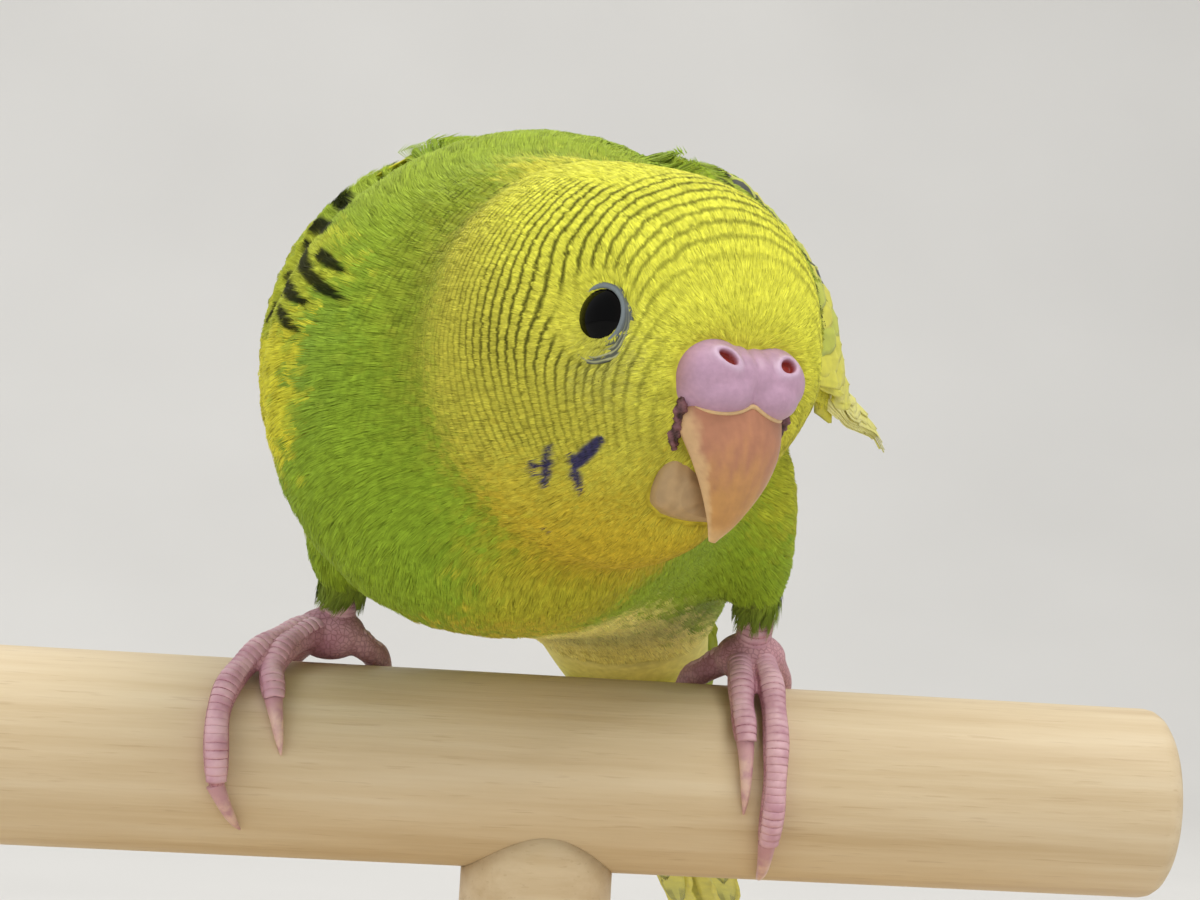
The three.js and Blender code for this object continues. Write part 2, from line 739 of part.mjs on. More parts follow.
function foot(side) {
  const palm = SHANKS[side][2];
  const pad = ellipsoid([palm[0], palm[1], palm[2] - PALM_PAD.drop], PALM_PAD.reaches, 9, 6);
  const toes = Object.values(TOES[side]).map(toe);
  return joined([shank(side), pad, ...toes]);
}

function thigh(side) {
  return bar(THIGHS[side], 13, 7);
}

// Stand

function perchDowel() {
  const r = PERCH_RADIUS;
  const half = PERCH_HALF_LENGTH;
  const edge = PERCH_EDGE_ROUND;
  const profile = new THREE.Path();
  profile.moveTo(0, -half);
  profile.lineTo(r - edge, -half);
  profile.absarc(r - edge, -half + edge, edge, -Math.PI / 2, 0, false);
  profile.absarc(r - edge, half - edge, edge, 0, Math.PI / 2, false);
  profile.lineTo(0, half);
  const dowel = new THREE.LatheGeometry(profile.getPoints(2), PERCH_SIDES);
  dowel.rotateZ(-Math.PI / 2);
  return dowel;
}

function post() {
  const length = PERCH_HEIGHT - BASE_THICKNESS - GAP;
  const rod = new THREE.CylinderGeometry(POST_RADIUS, POST_RADIUS, length, 32);
  rod.rotateX(Math.PI / 2);
  rod.translate(0, 0, -length / 2);
  const hollow = new THREE.CylinderGeometry(PERCH_RADIUS + GAP, PERCH_RADIUS + GAP, 40, 36);
  hollow.rotateZ(Math.PI / 2);
  return solid(rod).subtract(solid(hollow));
}

function base() {
  const edge = BASE_EDGE_ROUND;
  const profile = new THREE.Path();
  profile.moveTo(0, 0);
  profile.lineTo(BASE_RADIUS - edge, 0);
  profile.absarc(BASE_RADIUS - edge, edge, edge, -Math.PI / 2, 0, false);
  profile.absarc(BASE_RADIUS - edge, BASE_THICKNESS - edge, edge, 0, Math.PI / 2, false);
  profile.lineTo(0, BASE_THICKNESS);
  const disc = new THREE.LatheGeometry(profile.getPoints(1), 40);
  disc.rotateX(Math.PI / 2);
  return disc;
}

// Assembly

const model = new THREE.Group();
const overStand = new THREE.Group();
overStand.position.z = PERCH_HEIGHT;
model.add(overStand);

function add(group, name, geometry, surface) {
  const mesh = new THREE.Mesh(geometry, surface);
  mesh.name = name;
  group.add(mesh);
}

const plumage = material(COLOURS.green, 0.85);
const yellowPlumage = material(COLOURS.yellow, 0.85);
const skin = material(COLOURS.foot, 0.6);
const horn = material(COLOURS.claw, 0.45);
const wood = material(COLOURS.wood, 0.7);

// Torso, neck and head in one, grown outwards all over
function bodyCore(grow) {
  const torso = inFrame(bodyFrame, loft(bodyRings(TORSO, TORSO_RINGS, grow)));
  const neck = inFrame(neckFrame, loft(bodyRings(NECK, NECK_RINGS, grow)));
  return joined([torso, neck, headCore(grow)]);
}

const wholeBody = bodyCore(0);
const roomForBody = bodyCore(GAP);

const pastNeckCut = beyond(NECK_CUT, GAP / 2);
const beforeNeckCut = beyond(NECK_CUT, -GAP / 2);
const pastHeadCut = beyond(HEAD_CUT, GAP / 2);
const beforeHeadCut = beyond(HEAD_CUT, -GAP / 2);

const billParts = {
  upper: (grow) => bill(BILL_UPPER, grow),
  lower: (grow) => bill(BILL_LOWER, grow),
};
let head = wholeBody.intersect(pastHeadCut);
for (const side of [-1, 1]) {
  head = head.add(solid(lidRing(side))).subtract(solid(eyeBall(side, GAP)));
}
head = head.subtract(cere(GAP)).subtract(solid(billParts.upper(GAP))).subtract(solid(billParts.lower(GAP)));

add(overStand, 'torso', geometryFrom(wholeBody.subtract(beforeNeckCut)), plumage);
add(overStand, 'neck', geometryFrom(wholeBody.intersect(pastNeckCut).subtract(beforeHeadCut)), plumage);
add(overStand, 'head', geometryFrom(head), yellowPlumage);

const nostrils = [-1, 1].map(nostril);
let cereBody = cere().subtract(solid(billParts.upper(GAP)));
nostrils.forEach((hole) => {
  cereBody = cereBody.subtract(hole);
});
add(overStand, 'cere', geometryFrom(cereBody), material(COLOURS.cere, 0.5));
add(overStand, 'bill_upper', billParts.upper(0), material(COLOURS.bill, 0.4));
const lowerBill = solid(billParts.lower(0)).subtract(solid(billParts.upper(GAP)));
add(overStand, 'bill_lower', geometryFrom(lowerBill), material(COLOURS.billPale, 0.5));

for (const [name, side] of [['left', 1], ['right', -1]]) {
  add(overStand, `eye_${name}`, eyeBall(side), material(COLOURS.eye, 0.08));
  const sections = side > 0 ? WING_LEFT : WING_RIGHT;
  add(overStand, `wing_${name}`, geometryFrom(wing(sections, side).subtract(roomForBody)), plumage);
  const roomForWing = solid(wingSpace(sections, side, GAP));
  const roomForShank = solid(shank(name, GAP));
  const thighBody = solid(thigh(name)).subtract(roomForBody).subtract(roomForWing).subtract(roomForShank);
  add(overStand, `thigh_${name}`, geometryFrom(thighBody), plumage);
  add(overStand, `foot_${name}`, geometryFrom(foot(name)), skin);
  for (const [digit, points] of Object.entries(TOES[name])) {
    add(overStand, `claw_${name}_${digit}`, claw(points), horn);
  }
}
add(overStand, 'tail', geometryFrom(tail().subtract(roomForBody)), yellowPlumage);

add(overStand, 'stand_perch', perchDowel(), wood);
add(overStand, 'stand_post', geometryFrom(post()), wood);
add(model, 'stand_base', base(), wood);

export default model;
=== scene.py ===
import bmesh
import bpy
import numpy as np
from mathutils import Matrix, Vector
from mathutils.bvhtree import BVHTree
from mathutils.kdtree import KDTree


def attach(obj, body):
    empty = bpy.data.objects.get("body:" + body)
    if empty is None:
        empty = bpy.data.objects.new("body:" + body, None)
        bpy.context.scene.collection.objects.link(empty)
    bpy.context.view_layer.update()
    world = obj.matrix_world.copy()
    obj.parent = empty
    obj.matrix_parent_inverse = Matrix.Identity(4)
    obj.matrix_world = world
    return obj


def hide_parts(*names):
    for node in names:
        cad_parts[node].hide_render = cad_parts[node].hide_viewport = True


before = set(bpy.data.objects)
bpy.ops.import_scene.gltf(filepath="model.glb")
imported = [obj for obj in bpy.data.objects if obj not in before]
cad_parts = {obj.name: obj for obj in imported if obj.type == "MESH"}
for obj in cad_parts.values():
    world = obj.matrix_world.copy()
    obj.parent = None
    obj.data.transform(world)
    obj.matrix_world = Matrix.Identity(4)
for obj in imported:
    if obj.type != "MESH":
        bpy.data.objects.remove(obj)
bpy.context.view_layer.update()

# Sizes are in millimetres over the perch's axis, as in the part's source.
PERCH_HEIGHT = 44.0
PERCH_RADIUS = 8.0
PERCH_HALF_LENGTH = 52.9
PERCH_EDGE_ROUND = 1.6
POST_RADIUS = 6.25
BASE_RADIUS = 56.0
BASE_THICKNESS = 8.0
BASE_EDGE_ROUND = 1.5

EYE_POINT = (6.9, 9.4, 2.9)
EYE_AXIS = (0.24, 0.96, 0.12)
EYE_RADIUS = 2.9

FLESH = ("torso", "neck", "head", "thigh_left", "thigh_right")
THIGHS = {
    "left": (
        (10.5, -12, 27, 6.5), (12.8, -10, 22.5, 6.2), (15.4, -6.5, 18.2, 4.2), (16.8, -3.6, 14.8, 2.4)),
    "right": (
        (-13.0, -8, 27, 6.5), (-15.5, -6.5, 22.5, 6.4), (-17.1, -3.5, 18.0, 4.6), (-17.4, -0.8, 14.2, 2.6)),
}


# Arithmetic

def ramp(value, low, high):
    """0 below low, 1 above high, smooth between them."""
    t = np.clip((np.asarray(value, float) - low) / (high - low), 0, 1)
    return t * t * (3 - 2 * t)


def mix(a, b, share):
    """From a to b, with share as a number or one value a row."""
    share = np.asarray(share, float)
    if share.ndim:
        share = share[..., None]
    return np.asarray(a, float) * (1 - share) + np.asarray(b, float) * share


def about(points, place, reach, most=1.0):
    """A share that is greatest at the place and falls softly to 0 round it."""
    return most * np.exp(-(np.linalg.norm(np.subtract(points, place), axis=1) / reach) ** 2)


def unit(vectors):
    length = np.linalg.norm(vectors, axis=-1, keepdims=True)
    return vectors / np.maximum(length, 1e-9)


def circle(count):
    """Angles at even steps round a whole turn."""
    return np.linspace(0, 2 * np.pi, count, endpoint=False)


def spokes(angle, one, other):
    """Directions at the given angles, from the one way towards the other."""
    return np.cos(angle)[:, None] * one + np.sin(angle)[:, None] * other


def linear(hex_colour):
    """A colour written as rrggbb, as linear light."""
    values = np.array([int(hex_colour[i:i + 2], 16) / 255 for i in (0, 2, 4)])
    return np.where(values <= 0.04045, values / 12.92, ((values + 0.055) / 1.055) ** 2.4)


def turning(axis, degrees):
    return np.array(Matrix.Rotation(np.radians(degrees), 3, axis))


class Place:
    """A frame of the bird: an origin, and axes as columns."""

    def __init__(self, origin, axes):
        self.origin = np.array(origin, float)
        self.axes = np.array(axes, float)

    def out(self, points):
        return np.asarray(points, float) @ self.axes.T + self.origin

    def turn_out(self, vectors):
        return np.asarray(vectors, float) @ self.axes.T

    def into(self, points):
        return (np.asarray(points, float) - self.origin) @ self.axes

    def inside(self, origin, axes):
        return Place(self.out(np.array(origin, float)), self.axes @ axes)


BODY = Place((-2.4, -12, 31), turning("Z", -110))
HEAD = Place((0.42, -37.7, 30.5), turning("Z", -61.3) @ turning("Y", 9.7) @ turning("X", -0.6))
TAIL = BODY.inside((-31.5, 0, -17.6), turning("Z", 180) @ turning("Y", 27))


def sided(point, side):
    return np.array([point[0], side * point[1], point[2]], float)


def eye_centre(side):
    return sided(EYE_POINT, side) - unit(sided(EYE_AXIS, side)) * EYE_RADIUS


def noise(points, scale, seed):
    """Smooth values about 0, from a few seeded waves."""
    draws = np.random.default_rng(seed)
    total = np.zeros(len(points))
    for size in (1.0, 0.53, 0.27):
        wave = unit(draws.normal(size=(4, 3))) * 2 * np.pi / (scale * size)
        phase = draws.uniform(0, 2 * np.pi, 4)
        total += size * np.sin(points @ wave.T + phase).sum(axis=1) / 4
    return total


# Making pieces

def in_metres(points):
    """Points over the perch in millimetres, as the scene has them."""
    return (np.asarray(points, float) + [0, 0, PERCH_HEIGHT]) * 0.001


def in_scene(name, data):
    made = bpy.data.objects.new(name, data)
    bpy.context.scene.collection.objects.link(made)
    return made


def add_layer(mesh, key, kind, field, values):
    """An attribute of the mesh, with a value for each point."""
    layer = mesh.attributes.new(key, kind, "POINT")
    layer.data.foreach_set(field, np.asarray(values, np.float32).ravel())


def new_mesh(name, points, faces, surface, tint=None, values=None, patches=None, normals=None):
    """A mesh object from points over the perch in millimetres and faces of one length."""
    mesh = bpy.data.meshes.new(name)
    faces = np.asarray(faces, np.int32)
    mesh.vertices.add(len(points))
    mesh.vertices.foreach_set("co", in_metres(points).astype(np.float32).ravel())
    mesh.loops.add(faces.size)
    mesh.loops.foreach_set("vertex_index", faces.ravel())
    mesh.polygons.add(len(faces))
    mesh.polygons.foreach_set("loop_start", np.arange(0, faces.size, faces.shape[1], dtype=np.int32))
    mesh.polygons.foreach_set("use_smooth", np.ones(len(faces), bool))
    mesh.update(calc_edges=True)
    if tint is not None:
        add_layer(mesh, "tint", "FLOAT_COLOR", "color", np.append(tint, np.ones((len(points), 1)), 1))
    for key, value in (values or {}).items():
        add_layer(mesh, key, "FLOAT", "value", value)
    if patches is not None:
        layer = mesh.uv_layers.new(name="OFBake")
        layer.data.foreach_set("uv", np.asarray(patches, np.float32)[faces.ravel()].ravel())
    if normals is not None:
        mesh.normals_split_custom_set_from_vertices(unit(normals).tolist())
    mesh.materials.append(surface)
    return in_scene(name, mesh)


def declare(piece, slot, *nodes):
    """The piece rides on the part, and the CAD nodes that it stands for are hidden. The slot is not used.
    """
    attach(piece, "root")
    if nodes:
        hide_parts(*nodes)


def grid_faces(rows, columns, closed=False):
    """Quads over rows of points. A closed grid joins its last column to its first."""
    column = np.arange(columns if closed else columns - 1)
    following = (column + 1) % columns
    start = (np.arange(rows - 1) * columns)[:, None]
    after = start + columns
    corners = (start + column, start + following, after + following, after + column)
    return np.stack(corners, -1).reshape(-1, 4)


def slab_faces(rows, columns):
    """Quads of a closed slab: a top grid, the grid below it and the wall round both."""
    quads = grid_faces(rows, columns)
    below = rows * columns
    rim = list(range(columns)) + [i * columns + columns - 1 for i in range(1, rows)]
    rim += [(rows - 1) * columns + j for j in range(columns - 2, -1, -1)]
    rim += [i * columns for i in range(rows - 2, 0, -1)]
    rim = np.array(rim)
    after = np.roll(rim, -1)
    wall = np.stack([after, rim, rim + below, after + below], 1)
    return np.vstack([quads, quads[:, ::-1] + below, wall])


def halved(quads):
    """Two triangles for each quad."""
    return np.vstack([quads[:, [0, 1, 2]], quads[:, [0, 2, 3]]])


def ring_mesh(rings):
    """Points and triangles of a closed skin over rings, with a hub at each end."""
    rings = np.asarray(rings, float)
    count, sides = rings.shape[:2]
    faces = [halved(grid_faces(count, sides, closed=True))]
    points = np.vstack([rings.reshape(-1, 3), rings[0].mean(0), rings[-1].mean(0)])
    around = np.arange(sides)
    following = (around + 1) % sides
    last = (count - 1) * sides
    hub = np.full(sides, count * sides)
    faces.append(np.stack([following, around, hub], 1))
    faces.append(np.stack([last + around, last + following, hub + 1], 1))
    return points, facing_out(points, np.vstack(faces))


def facing_out(points, faces):
    """The faces, turned over if they face inwards."""
    triangles = halved(faces) if faces.shape[1] == 4 else faces
    a, b, c = (points[triangles[:, k]] for k in range(3))
    volume = np.einsum("ij,ij->i", a, np.cross(b, c)).sum()
    return faces if volume > 0 else faces[:, ::-1]


def joined(parts):
    """Several (points, faces) as one."""
    points, faces, start = [], [], 0
    for some, other in parts:
        points.append(np.asarray(some, float))
        faces.append(np.asarray(other) + start)
        start += len(some)
    return np.vstack(points), np.vstack(faces)


def curve_through(points, count):
    """Evenly timed points of a smooth curve through the given ones, whatever their width."""
    points = np.asarray(points, float)
    padded = np.vstack([2 * points[0] - points[1], points, 2 * points[-1] - points[-2]])
    times = np.linspace(0, len(points) - 1, count)
    found = []
    for time in times:
        i = min(int(time), len(points) - 2)
        t = time - i
        a, b, c, d = padded[i:i + 4]
        found.append(0.5 * (2 * b + (c - a) * t + (2 * a - 5 * b + 4 * c - d) * t * t
                            + (3 * b - a - 3 * c + d) * t ** 3))
    return np.array(found)


def sweep(path, radii, sides):
    """Rings of a tube along a path, with one radius a step."""
    path = np.asarray(path, float)
    ahead = unit(np.gradient(path, axis=0))
    side = unit(np.cross(ahead[0], [0.31, 0.12, 0.94]))
    rings = []
    for centre, forward, radius in zip(path, ahead, radii):
        side = unit(side - forward * (side @ forward))
        rings.append(centre + radius * spokes(circle(sides), side, np.cross(forward, side)))
    return np.array(rings)


# Materials

def group(name, inputs, outputs, kind="ShaderNodeTree"):
    """A node group: its tree, the sockets that give its inputs, and those that take its outputs."""
    tree = bpy.data.node_groups.new(name, kind)
    for label, socket_kind, value in inputs:
        socket = tree.interface.new_socket(label, in_out="INPUT", socket_type="NodeSocket" + socket_kind)
        if value is not None:
            socket.default_value = value
    for label, socket_kind in outputs:
        tree.interface.new_socket(label, in_out="OUTPUT", socket_type="NodeSocket" + socket_kind)
    return tree, tree.nodes.new("NodeGroupInput").outputs, tree.nodes.new("NodeGroupOutput").inputs


def feed(tree, socket, value):
    """Links a socket, or sets it to a colour, a vector or a plain value."""
    if isinstance(value, bpy.types.NodeSocket):
        tree.links.new(value, socket)
    elif np.ndim(value):
        socket.default_value = (*value[:3], 1)[:len(socket.default_value)]
    else:
        socket.default_value = value


def add_node(tree, kind, sockets=None, **settings):
    """A node with its settings made and its sockets fed. Returns its outputs."""
    made = tree.nodes.new(kind)
    for key, value in settings.items():
        setattr(made, key, value)
    for key, value in (sockets or {}).items():
        feed(tree, made.inputs[key], value)
    return made.outputs


def add_maths(tree, operation, *values):
    return add_node(tree, "ShaderNodeMath", dict(enumerate(values)), operation=operation)[0]


class Finish:
    """A material being built, with short ways to add its nodes."""

    def __init__(self, name, roughness, gloss, **sockets):
        self.material = bpy.data.materials.new(name)
        self.material.use_nodes = True
        self.tree = self.material.node_tree
        self.shader = self.tree.nodes["Principled BSDF"].inputs
        self.shader["Roughness"].default_value = roughness
        self.shader["Specular IOR Level"].default_value = gloss
        for label, value in sockets.items():
            self.shader[label.replace("_", " ")].default_value = value

    def node(self, kind, sockets=None, **settings):
        return add_node(self.tree, kind, sockets, **settings)

    def maths(self, operation, *values):
        return add_maths(self.tree, operation, *values)

    def attribute(self, name, output="Fac"):
        return self.node("ShaderNodeAttribute", attribute_name=name)[output]

    def coordinates(self, scale=(1, 1, 1)):
        where = self.node("ShaderNodeTexCoord")["Object"]
        return self.node("ShaderNodeMapping", {"Vector": where, "Scale": scale})["Vector"]

    def noise(self, scale, detail=3.0, vector=None, roughness=0.5):
        sockets = {"Scale": scale, "Detail": detail, "Roughness": roughness}
        sockets["Vector"] = vector or self.coordinates()
        return self.node("ShaderNodeTexNoise", sockets)["Fac"]

    def ramp(self, value, *stops):
        made = self.tree.nodes.new("ShaderNodeValToRGB")
        elements = made.color_ramp.elements
        while len(elements) < len(stops):
            elements.new(0.5)
        for element, (position, colour) in zip(elements, stops):
            element.position = position
            element.color = (*colour, 1) if np.ndim(colour) else (colour, colour, colour, 1)
        feed(self.tree, made.inputs["Fac"], value)
        return made.outputs["Color"]

    def blend(self, share, first, second, mode="MIX"):
        sockets = {0: share, 6: first, 7: second}
        return self.node("ShaderNodeMix", sockets, data_type="RGBA", blend_type=mode)[2]

    def use(self, tree, **inputs):
        return self.node("ShaderNodeGroup", inputs, node_tree=tree)

    def speckled_tint(self, scale, amount):
        """The mesh's own tint in fine lighter and darker patches: its Colour and its Height."""
        return self.use(SPECKLE, Colour=self.attribute("tint", "Color"), Vector=self.coordinates(),
                        Scale=scale, Amount=amount)

    def paint(self, colour):
        feed(self.tree, self.shader["Base Color"], colour)

    def rough(self, value, low, high):
        spread = self.node("ShaderNodeMapRange", {"Value": value, "To Min": low, "To Max": high})
        feed(self.tree, self.shader["Roughness"], spread["Result"])

    def bump(self, height, strength, distance):
        sockets = {"Height": height, "Strength": strength, "Distance": distance}
        feed(self.tree, self.shader["Normal"], self.node("ShaderNodeBump", sockets)["Normal"])


def bar_group():
    """Thin dark bars: one where the phase passes each whole number."""
    tree, given, result = group(
        "thin bars",
        [("Phase", "Float", 0.0), ("Strength", "Float", 0.0), ("Width", "Float", 0.25),
         ("Colour", "Color", (1, 1, 1, 1)), ("Bar", "Color", (0.05, 0.05, 0.02, 1))],
        [("Colour", "Color")])
    wave = add_maths(tree, "PINGPONG", given["Phase"], 0.5)
    near = add_maths(tree, "MINIMUM", add_maths(tree, "DIVIDE", wave, given["Width"]), 1.0)
    line = add_maths(tree, "SQRT", add_maths(tree, "SUBTRACT", 1.0, near))
    soft = add_maths(tree, "MULTIPLY", line, given["Strength"])
    sockets = {0: soft, 6: given["Colour"], 7: given["Bar"]}
    feed(tree, result["Colour"], add_node(tree, "ShaderNodeMix", sockets, data_type="RGBA")[2])
    return tree


def speckle_group():
    """A colour made a little lighter and darker in fine patches."""
    tree, given, result = group(
        "fine speckle",
        [("Colour", "Color", (1, 1, 1, 1)), ("Vector", "Vector", None), ("Scale", "Float", 500.0),
         ("Amount", "Float", 0.2)],
        [("Colour", "Color"), ("Height", "Float")])
    texture = add_node(tree, "ShaderNodeTexNoise",
                       {"Vector": given["Vector"], "Scale": given["Scale"], "Detail": 3})["Fac"]
    spread = add_node(tree, "ShaderNodeMapRange",
                      {"Value": texture, "From Min": 0.3, "From Max": 0.7, "To Min": -1})["Result"]
    value = add_maths(tree, "MULTIPLY_ADD", spread, given["Amount"], 1)
    scaled = add_node(tree, "ShaderNodeVectorMath", operation="SCALE",
                      sockets={0: given["Colour"], "Scale": value})
    feed(tree, result["Colour"], scaled[0])
    feed(tree, result["Height"], texture)
    return tree


BARS = bar_group()
SPECKLE = speckle_group()


def plumage_finish(name, roughness, amount):
    made = Finish(name, roughness, 0.06, Sheen_Weight=0.02, Sheen_Roughness=0.4,
                  Sheen_Tint=(1.0, 0.98, 0.7, 1))
    barred = made.use(BARS, Phase=made.attribute("phase"), Strength=made.attribute("barring"),
                      Width=BAR_WIDTH, Colour=made.speckled_tint(1500.0, amount)["Colour"], Bar=BAR_DARK)
    made.paint(barred["Colour"])
    return made.material


BAR_WIDTH = 0.21
BAR_DARK = linear("2c3010")
COAT = plumage_finish("soft plumage", 0.65, 0.1)
SKIN = plumage_finish("skin under the plumage", 0.8, 0.2)


def wood_finish():
    made = Finish("pale turned wood", 0.5, 0.4)
    along = made.coordinates((3, 60, 60))
    grain = made.noise(9, 4, along, 0.6)
    streak = made.noise(3, 2, made.coordinates((1.2, 90, 90)), 0.4)
    pores = made.noise(60, 2, made.coordinates((4, 70, 70)), 0.5)
    colour = made.ramp(grain, (0.3, linear("ccb48d")), (0.55, linear("d8c39f")), (0.75, linear("dfcdad")))
    colour = made.blend(made.ramp(streak, (0.60, 0.0), (0.70, 0.35)), colour, linear("b8966a"))
    colour = made.blend(made.ramp(pores, (0.62, 0.0), (0.72, 0.22)), colour, linear("a5835a"))
    made.paint(colour)
    made.rough(grain, 0.42, 0.6)
    made.bump(pores, 0.12, 0.0002)
    return made.material


WOOD = wood_finish()


# Stand

def lathe(profile, sides, axis):
    """A closed round piece from (radius, place along) points, turned about X or Z."""
    radius, along = np.array(profile, float).T[:, :, None]
    angle = circle(sides)
    across, up, flat = radius * np.cos(angle), radius * np.sin(angle), along + 0 * angle
    return ring_mesh(np.stack([flat, across, up] if axis == "X" else [across, up, flat], -1))


def round_edge(radius, end, edge, facing):
    """Profile points round an edge: up from a low face (facing -1) or on to a high one (1)."""
    angle = np.linspace(0, np.pi / 2, 5)[::-facing]
    return [(radius - edge + edge * np.sin(a), end - facing * edge * (1 - np.cos(a))) for a in angle]


def wood_piece(node, points, faces):
    declare(new_mesh(f"{node}_wood", points, faces, WOOD), "wood", node)


def build_stand():
    half = PERCH_HALF_LENGTH
    profile = [(4, -half)] + round_edge(PERCH_RADIUS, -half, PERCH_EDGE_ROUND, -1)
    profile += [(PERCH_RADIUS, x) for x in np.linspace(-half + 4, half - 4, 24)]
    profile += round_edge(PERCH_RADIUS, half, PERCH_EDGE_ROUND, 1) + [(4, half)]
    wood_piece("stand_perch", *lathe(profile, 96, "X"))

    angle = circle(72)
    across = POST_RADIUS * np.sin(angle)
    bore = PERCH_RADIUS + 0.05
    saddle = -np.sqrt(bore ** 2 - across ** 2)
    floor = BASE_THICKNESS - PERCH_HEIGHT + 0.02
    rings = [np.stack([POST_RADIUS * np.cos(angle), across, saddle + (floor - saddle) * share], 1)
             for share in np.linspace(1, 0, 14)]
    points, faces = ring_mesh(rings)
    points[-1, 2] = -bore
    wood_piece("stand_post", points, faces)

    low = -PERCH_HEIGHT
    top = low + BASE_THICKNESS
    profile = [(30, low)] + round_edge(BASE_RADIUS, low, BASE_EDGE_ROUND, -1)
    profile += round_edge(BASE_RADIUS, top, BASE_EDGE_ROUND, 1) + [(r, top) for r in (44, 30, 16)]
    wood_piece("stand_base", *lathe(profile, 128, "Z"))


build_stand()


# Markings: the bird's colours, as functions of the place on it

CROWN_YELLOW = linear("ecea52")
CHEEK_YELLOW = linear("cdc648")
THROAT_GOLD = linear("ccb436")
NECK_LIME = linear("9aaa33")
BACK_GREEN = linear("9fb338")
FLANK_GREEN = linear("94b032")
FLANK_LIME = linear("c6c43a")
SHOULDER_SAGE = linear("86a652")
RIM_YELLOW = linear("ccbc3e")
BELLY_YELLOW = linear("f2ea8c")
EYE_OLIVE = linear("aaa658")
WING_YELLOW = linear("dcd63e")
WING_LIME = linear("a9b93c")
CHEEK_BLUE = linear("0e0d62")
MARK_BLACK = linear("080a05")

BAR_POLE = (5.0, -20.0)
BAR_ANGLE = 0.031
BAR_LOWEST = 9.0
BAR_REAR_REACH = 20.0
# Patches of colour: middle, reach and strength
OLIVE_PATCH = ((9.3, 9.0, 0.2), 2.6, 0.7)
SAGE_PATCH = ((20.5, 13.0, -1.0), 5.5, 0.35)
CHEEK_SQUEEZE = (1.0, 0.25, 1.0)
# Strokes of the cheek patch in the head's frame: two ends and half a width
CHEEK_STROKES = (
    ((7.6, -7.6, -5.3), (5.4, -7.8, -7.4), 0.42), ((5.4, -8.4, -6.7), (4.9, -6.8, -9.2), 0.34),
    ((4.2, -9.3, -6.4), (2.7, -8.2, -9.3), 0.3), ((2.6, -9.1, -7.6), (2.4, -9.1, -8.6), 0.24),
    ((0.9, -6.1, -12.3), (0.8, -6.1, -12.7), 0.16),
)
# Strokes at the bend of the wing: place along and degrees round the body, and half a width in mm
WING_STROKES = (
    ((12.0, 27.5), (20.8, 20.0), 0.8), ((12.0, 19.3), (20.5, 13.4), 0.7), ((11.0, 9.5), (14.6, 15.5), 0.75),
    ((16.6, 11.6), (20.9, 5.0), 0.6), ((20.2, 19.8), (22.6, 17.8), 0.7), ((17.8, 27.8), (21.0, 26.8), 0.75),
    ((10.0, 31.5), (14.5, 34.0), 0.9), ((8.0, 41.0), (12.5, 39.5), 0.9),
)
DEGREE_REACH = 0.35


def plumage_tint(points):
    """The coat's ground colour at each point."""
    head = HEAD.into(points)
    body = BODY.into(points)
    wander = noise(points, 9.0, 3) * 1.3
    ahead, across, height = head.T
    along, flank, level = body[:, 0], np.abs(body[:, 1]), body[:, 2]
    low = ramp(-height + 0.15 * ahead + 0.6 * wander, 6.0, 13.0) * ramp(ahead, -14.0, -6.0)
    throat = low * ramp(-np.abs(across) + 0.4 * wander, -9.5, -4.0)
    behind = ramp(-ahead - 0.25 * height + wander, 1.0, 11.0)
    far = ramp(-ahead - 0.75 * np.minimum(height, 1) + wander, 9.0, 16.0)
    nape = nape_patch(head)
    colour = mix(CHEEK_YELLOW, CROWN_YELLOW, ramp(height + 0.6 * ahead + wander, 1.0, 11.0))
    colour = mix(colour, EYE_OLIVE, about(np.stack([ahead, np.abs(across), height], 1), *OLIVE_PATCH))
    colour = mix(colour, THROAT_GOLD, low)
    colour = mix(colour, NECK_LIME, behind * (1 - 0.6 * throat) * (1 - nape))
    green = mix(BACK_GREEN, FLANK_GREEN, ramp(-level + wander, -12.0, -1.0))
    green = mix(green, SHOULDER_SAGE, about(np.stack([along, flank, level], 1), *SAGE_PATCH))
    side_patch = ramp(flank, 14.0, 17.0) * ramp(-along, -8.0, -2.0) * ramp(level, -13.0, -8.0)
    green = mix(green, FLANK_LIME, 0.8 * side_patch)
    colour = mix(colour, green, far * (1 - 0.8 * throat))
    colour = mix(colour, RIM_YELLOW, 0.8 * ramp(-level + 0.3 * wander, 18.4, 19.6) * ramp(along, 0, 6))
    under = ramp(-level + 0.5 * wander, 15.5, 18.5) * ramp(-flank, -12.0, -7.0)
    colour = mix(colour, BELLY_YELLOW, under * ramp(-along, -10.0, -2.0))
    bend, around = bend_of_wing(points)
    colour = mix(colour, WING_YELLOW, bend * (1 - ramp(around, 4.0, 10.0)))
    colour = mix(colour, mix(WING_LIME, WING_YELLOW, 0.5), 0.8 * bend * ramp(around, 4.0, 10.0))
    return colour * (1 + 0.05 * noise(points, 3.2, 8))[:, None]


def nape_patch(head):
    """Where the yellow of the crown runs back over the nape, from points in the head's frame."""
    return ramp(head[:, 2] - 0.35 * np.abs(head[:, 1] + 5), 10.6, 11.4) * ramp(-head[:, 0], -4.5, -2.5)


def round_body(points):
    """The points in the body's frame, and each one's degrees round it."""
    body = BODY.into(points)
    return body, np.degrees(np.arctan2(body[:, 2], np.abs(body[:, 1])))


def bend_of_wing(points):
    """How far each point belongs to the wing's bend, and its degrees round the body."""
    body, around = round_body(points)
    inner = 22.0 - 0.02 * np.maximum(around, 0) + 0.12 * noise(points, 3.0, 19)
    share = ramp(body[:, 0], 8.0, 10.0) * (1 - ramp(body[:, 0], inner, inner + 0.9))
    return share * ramp(around, -31.0, -25.0) * (1 - ramp(around, 30.0, 36.0)), around


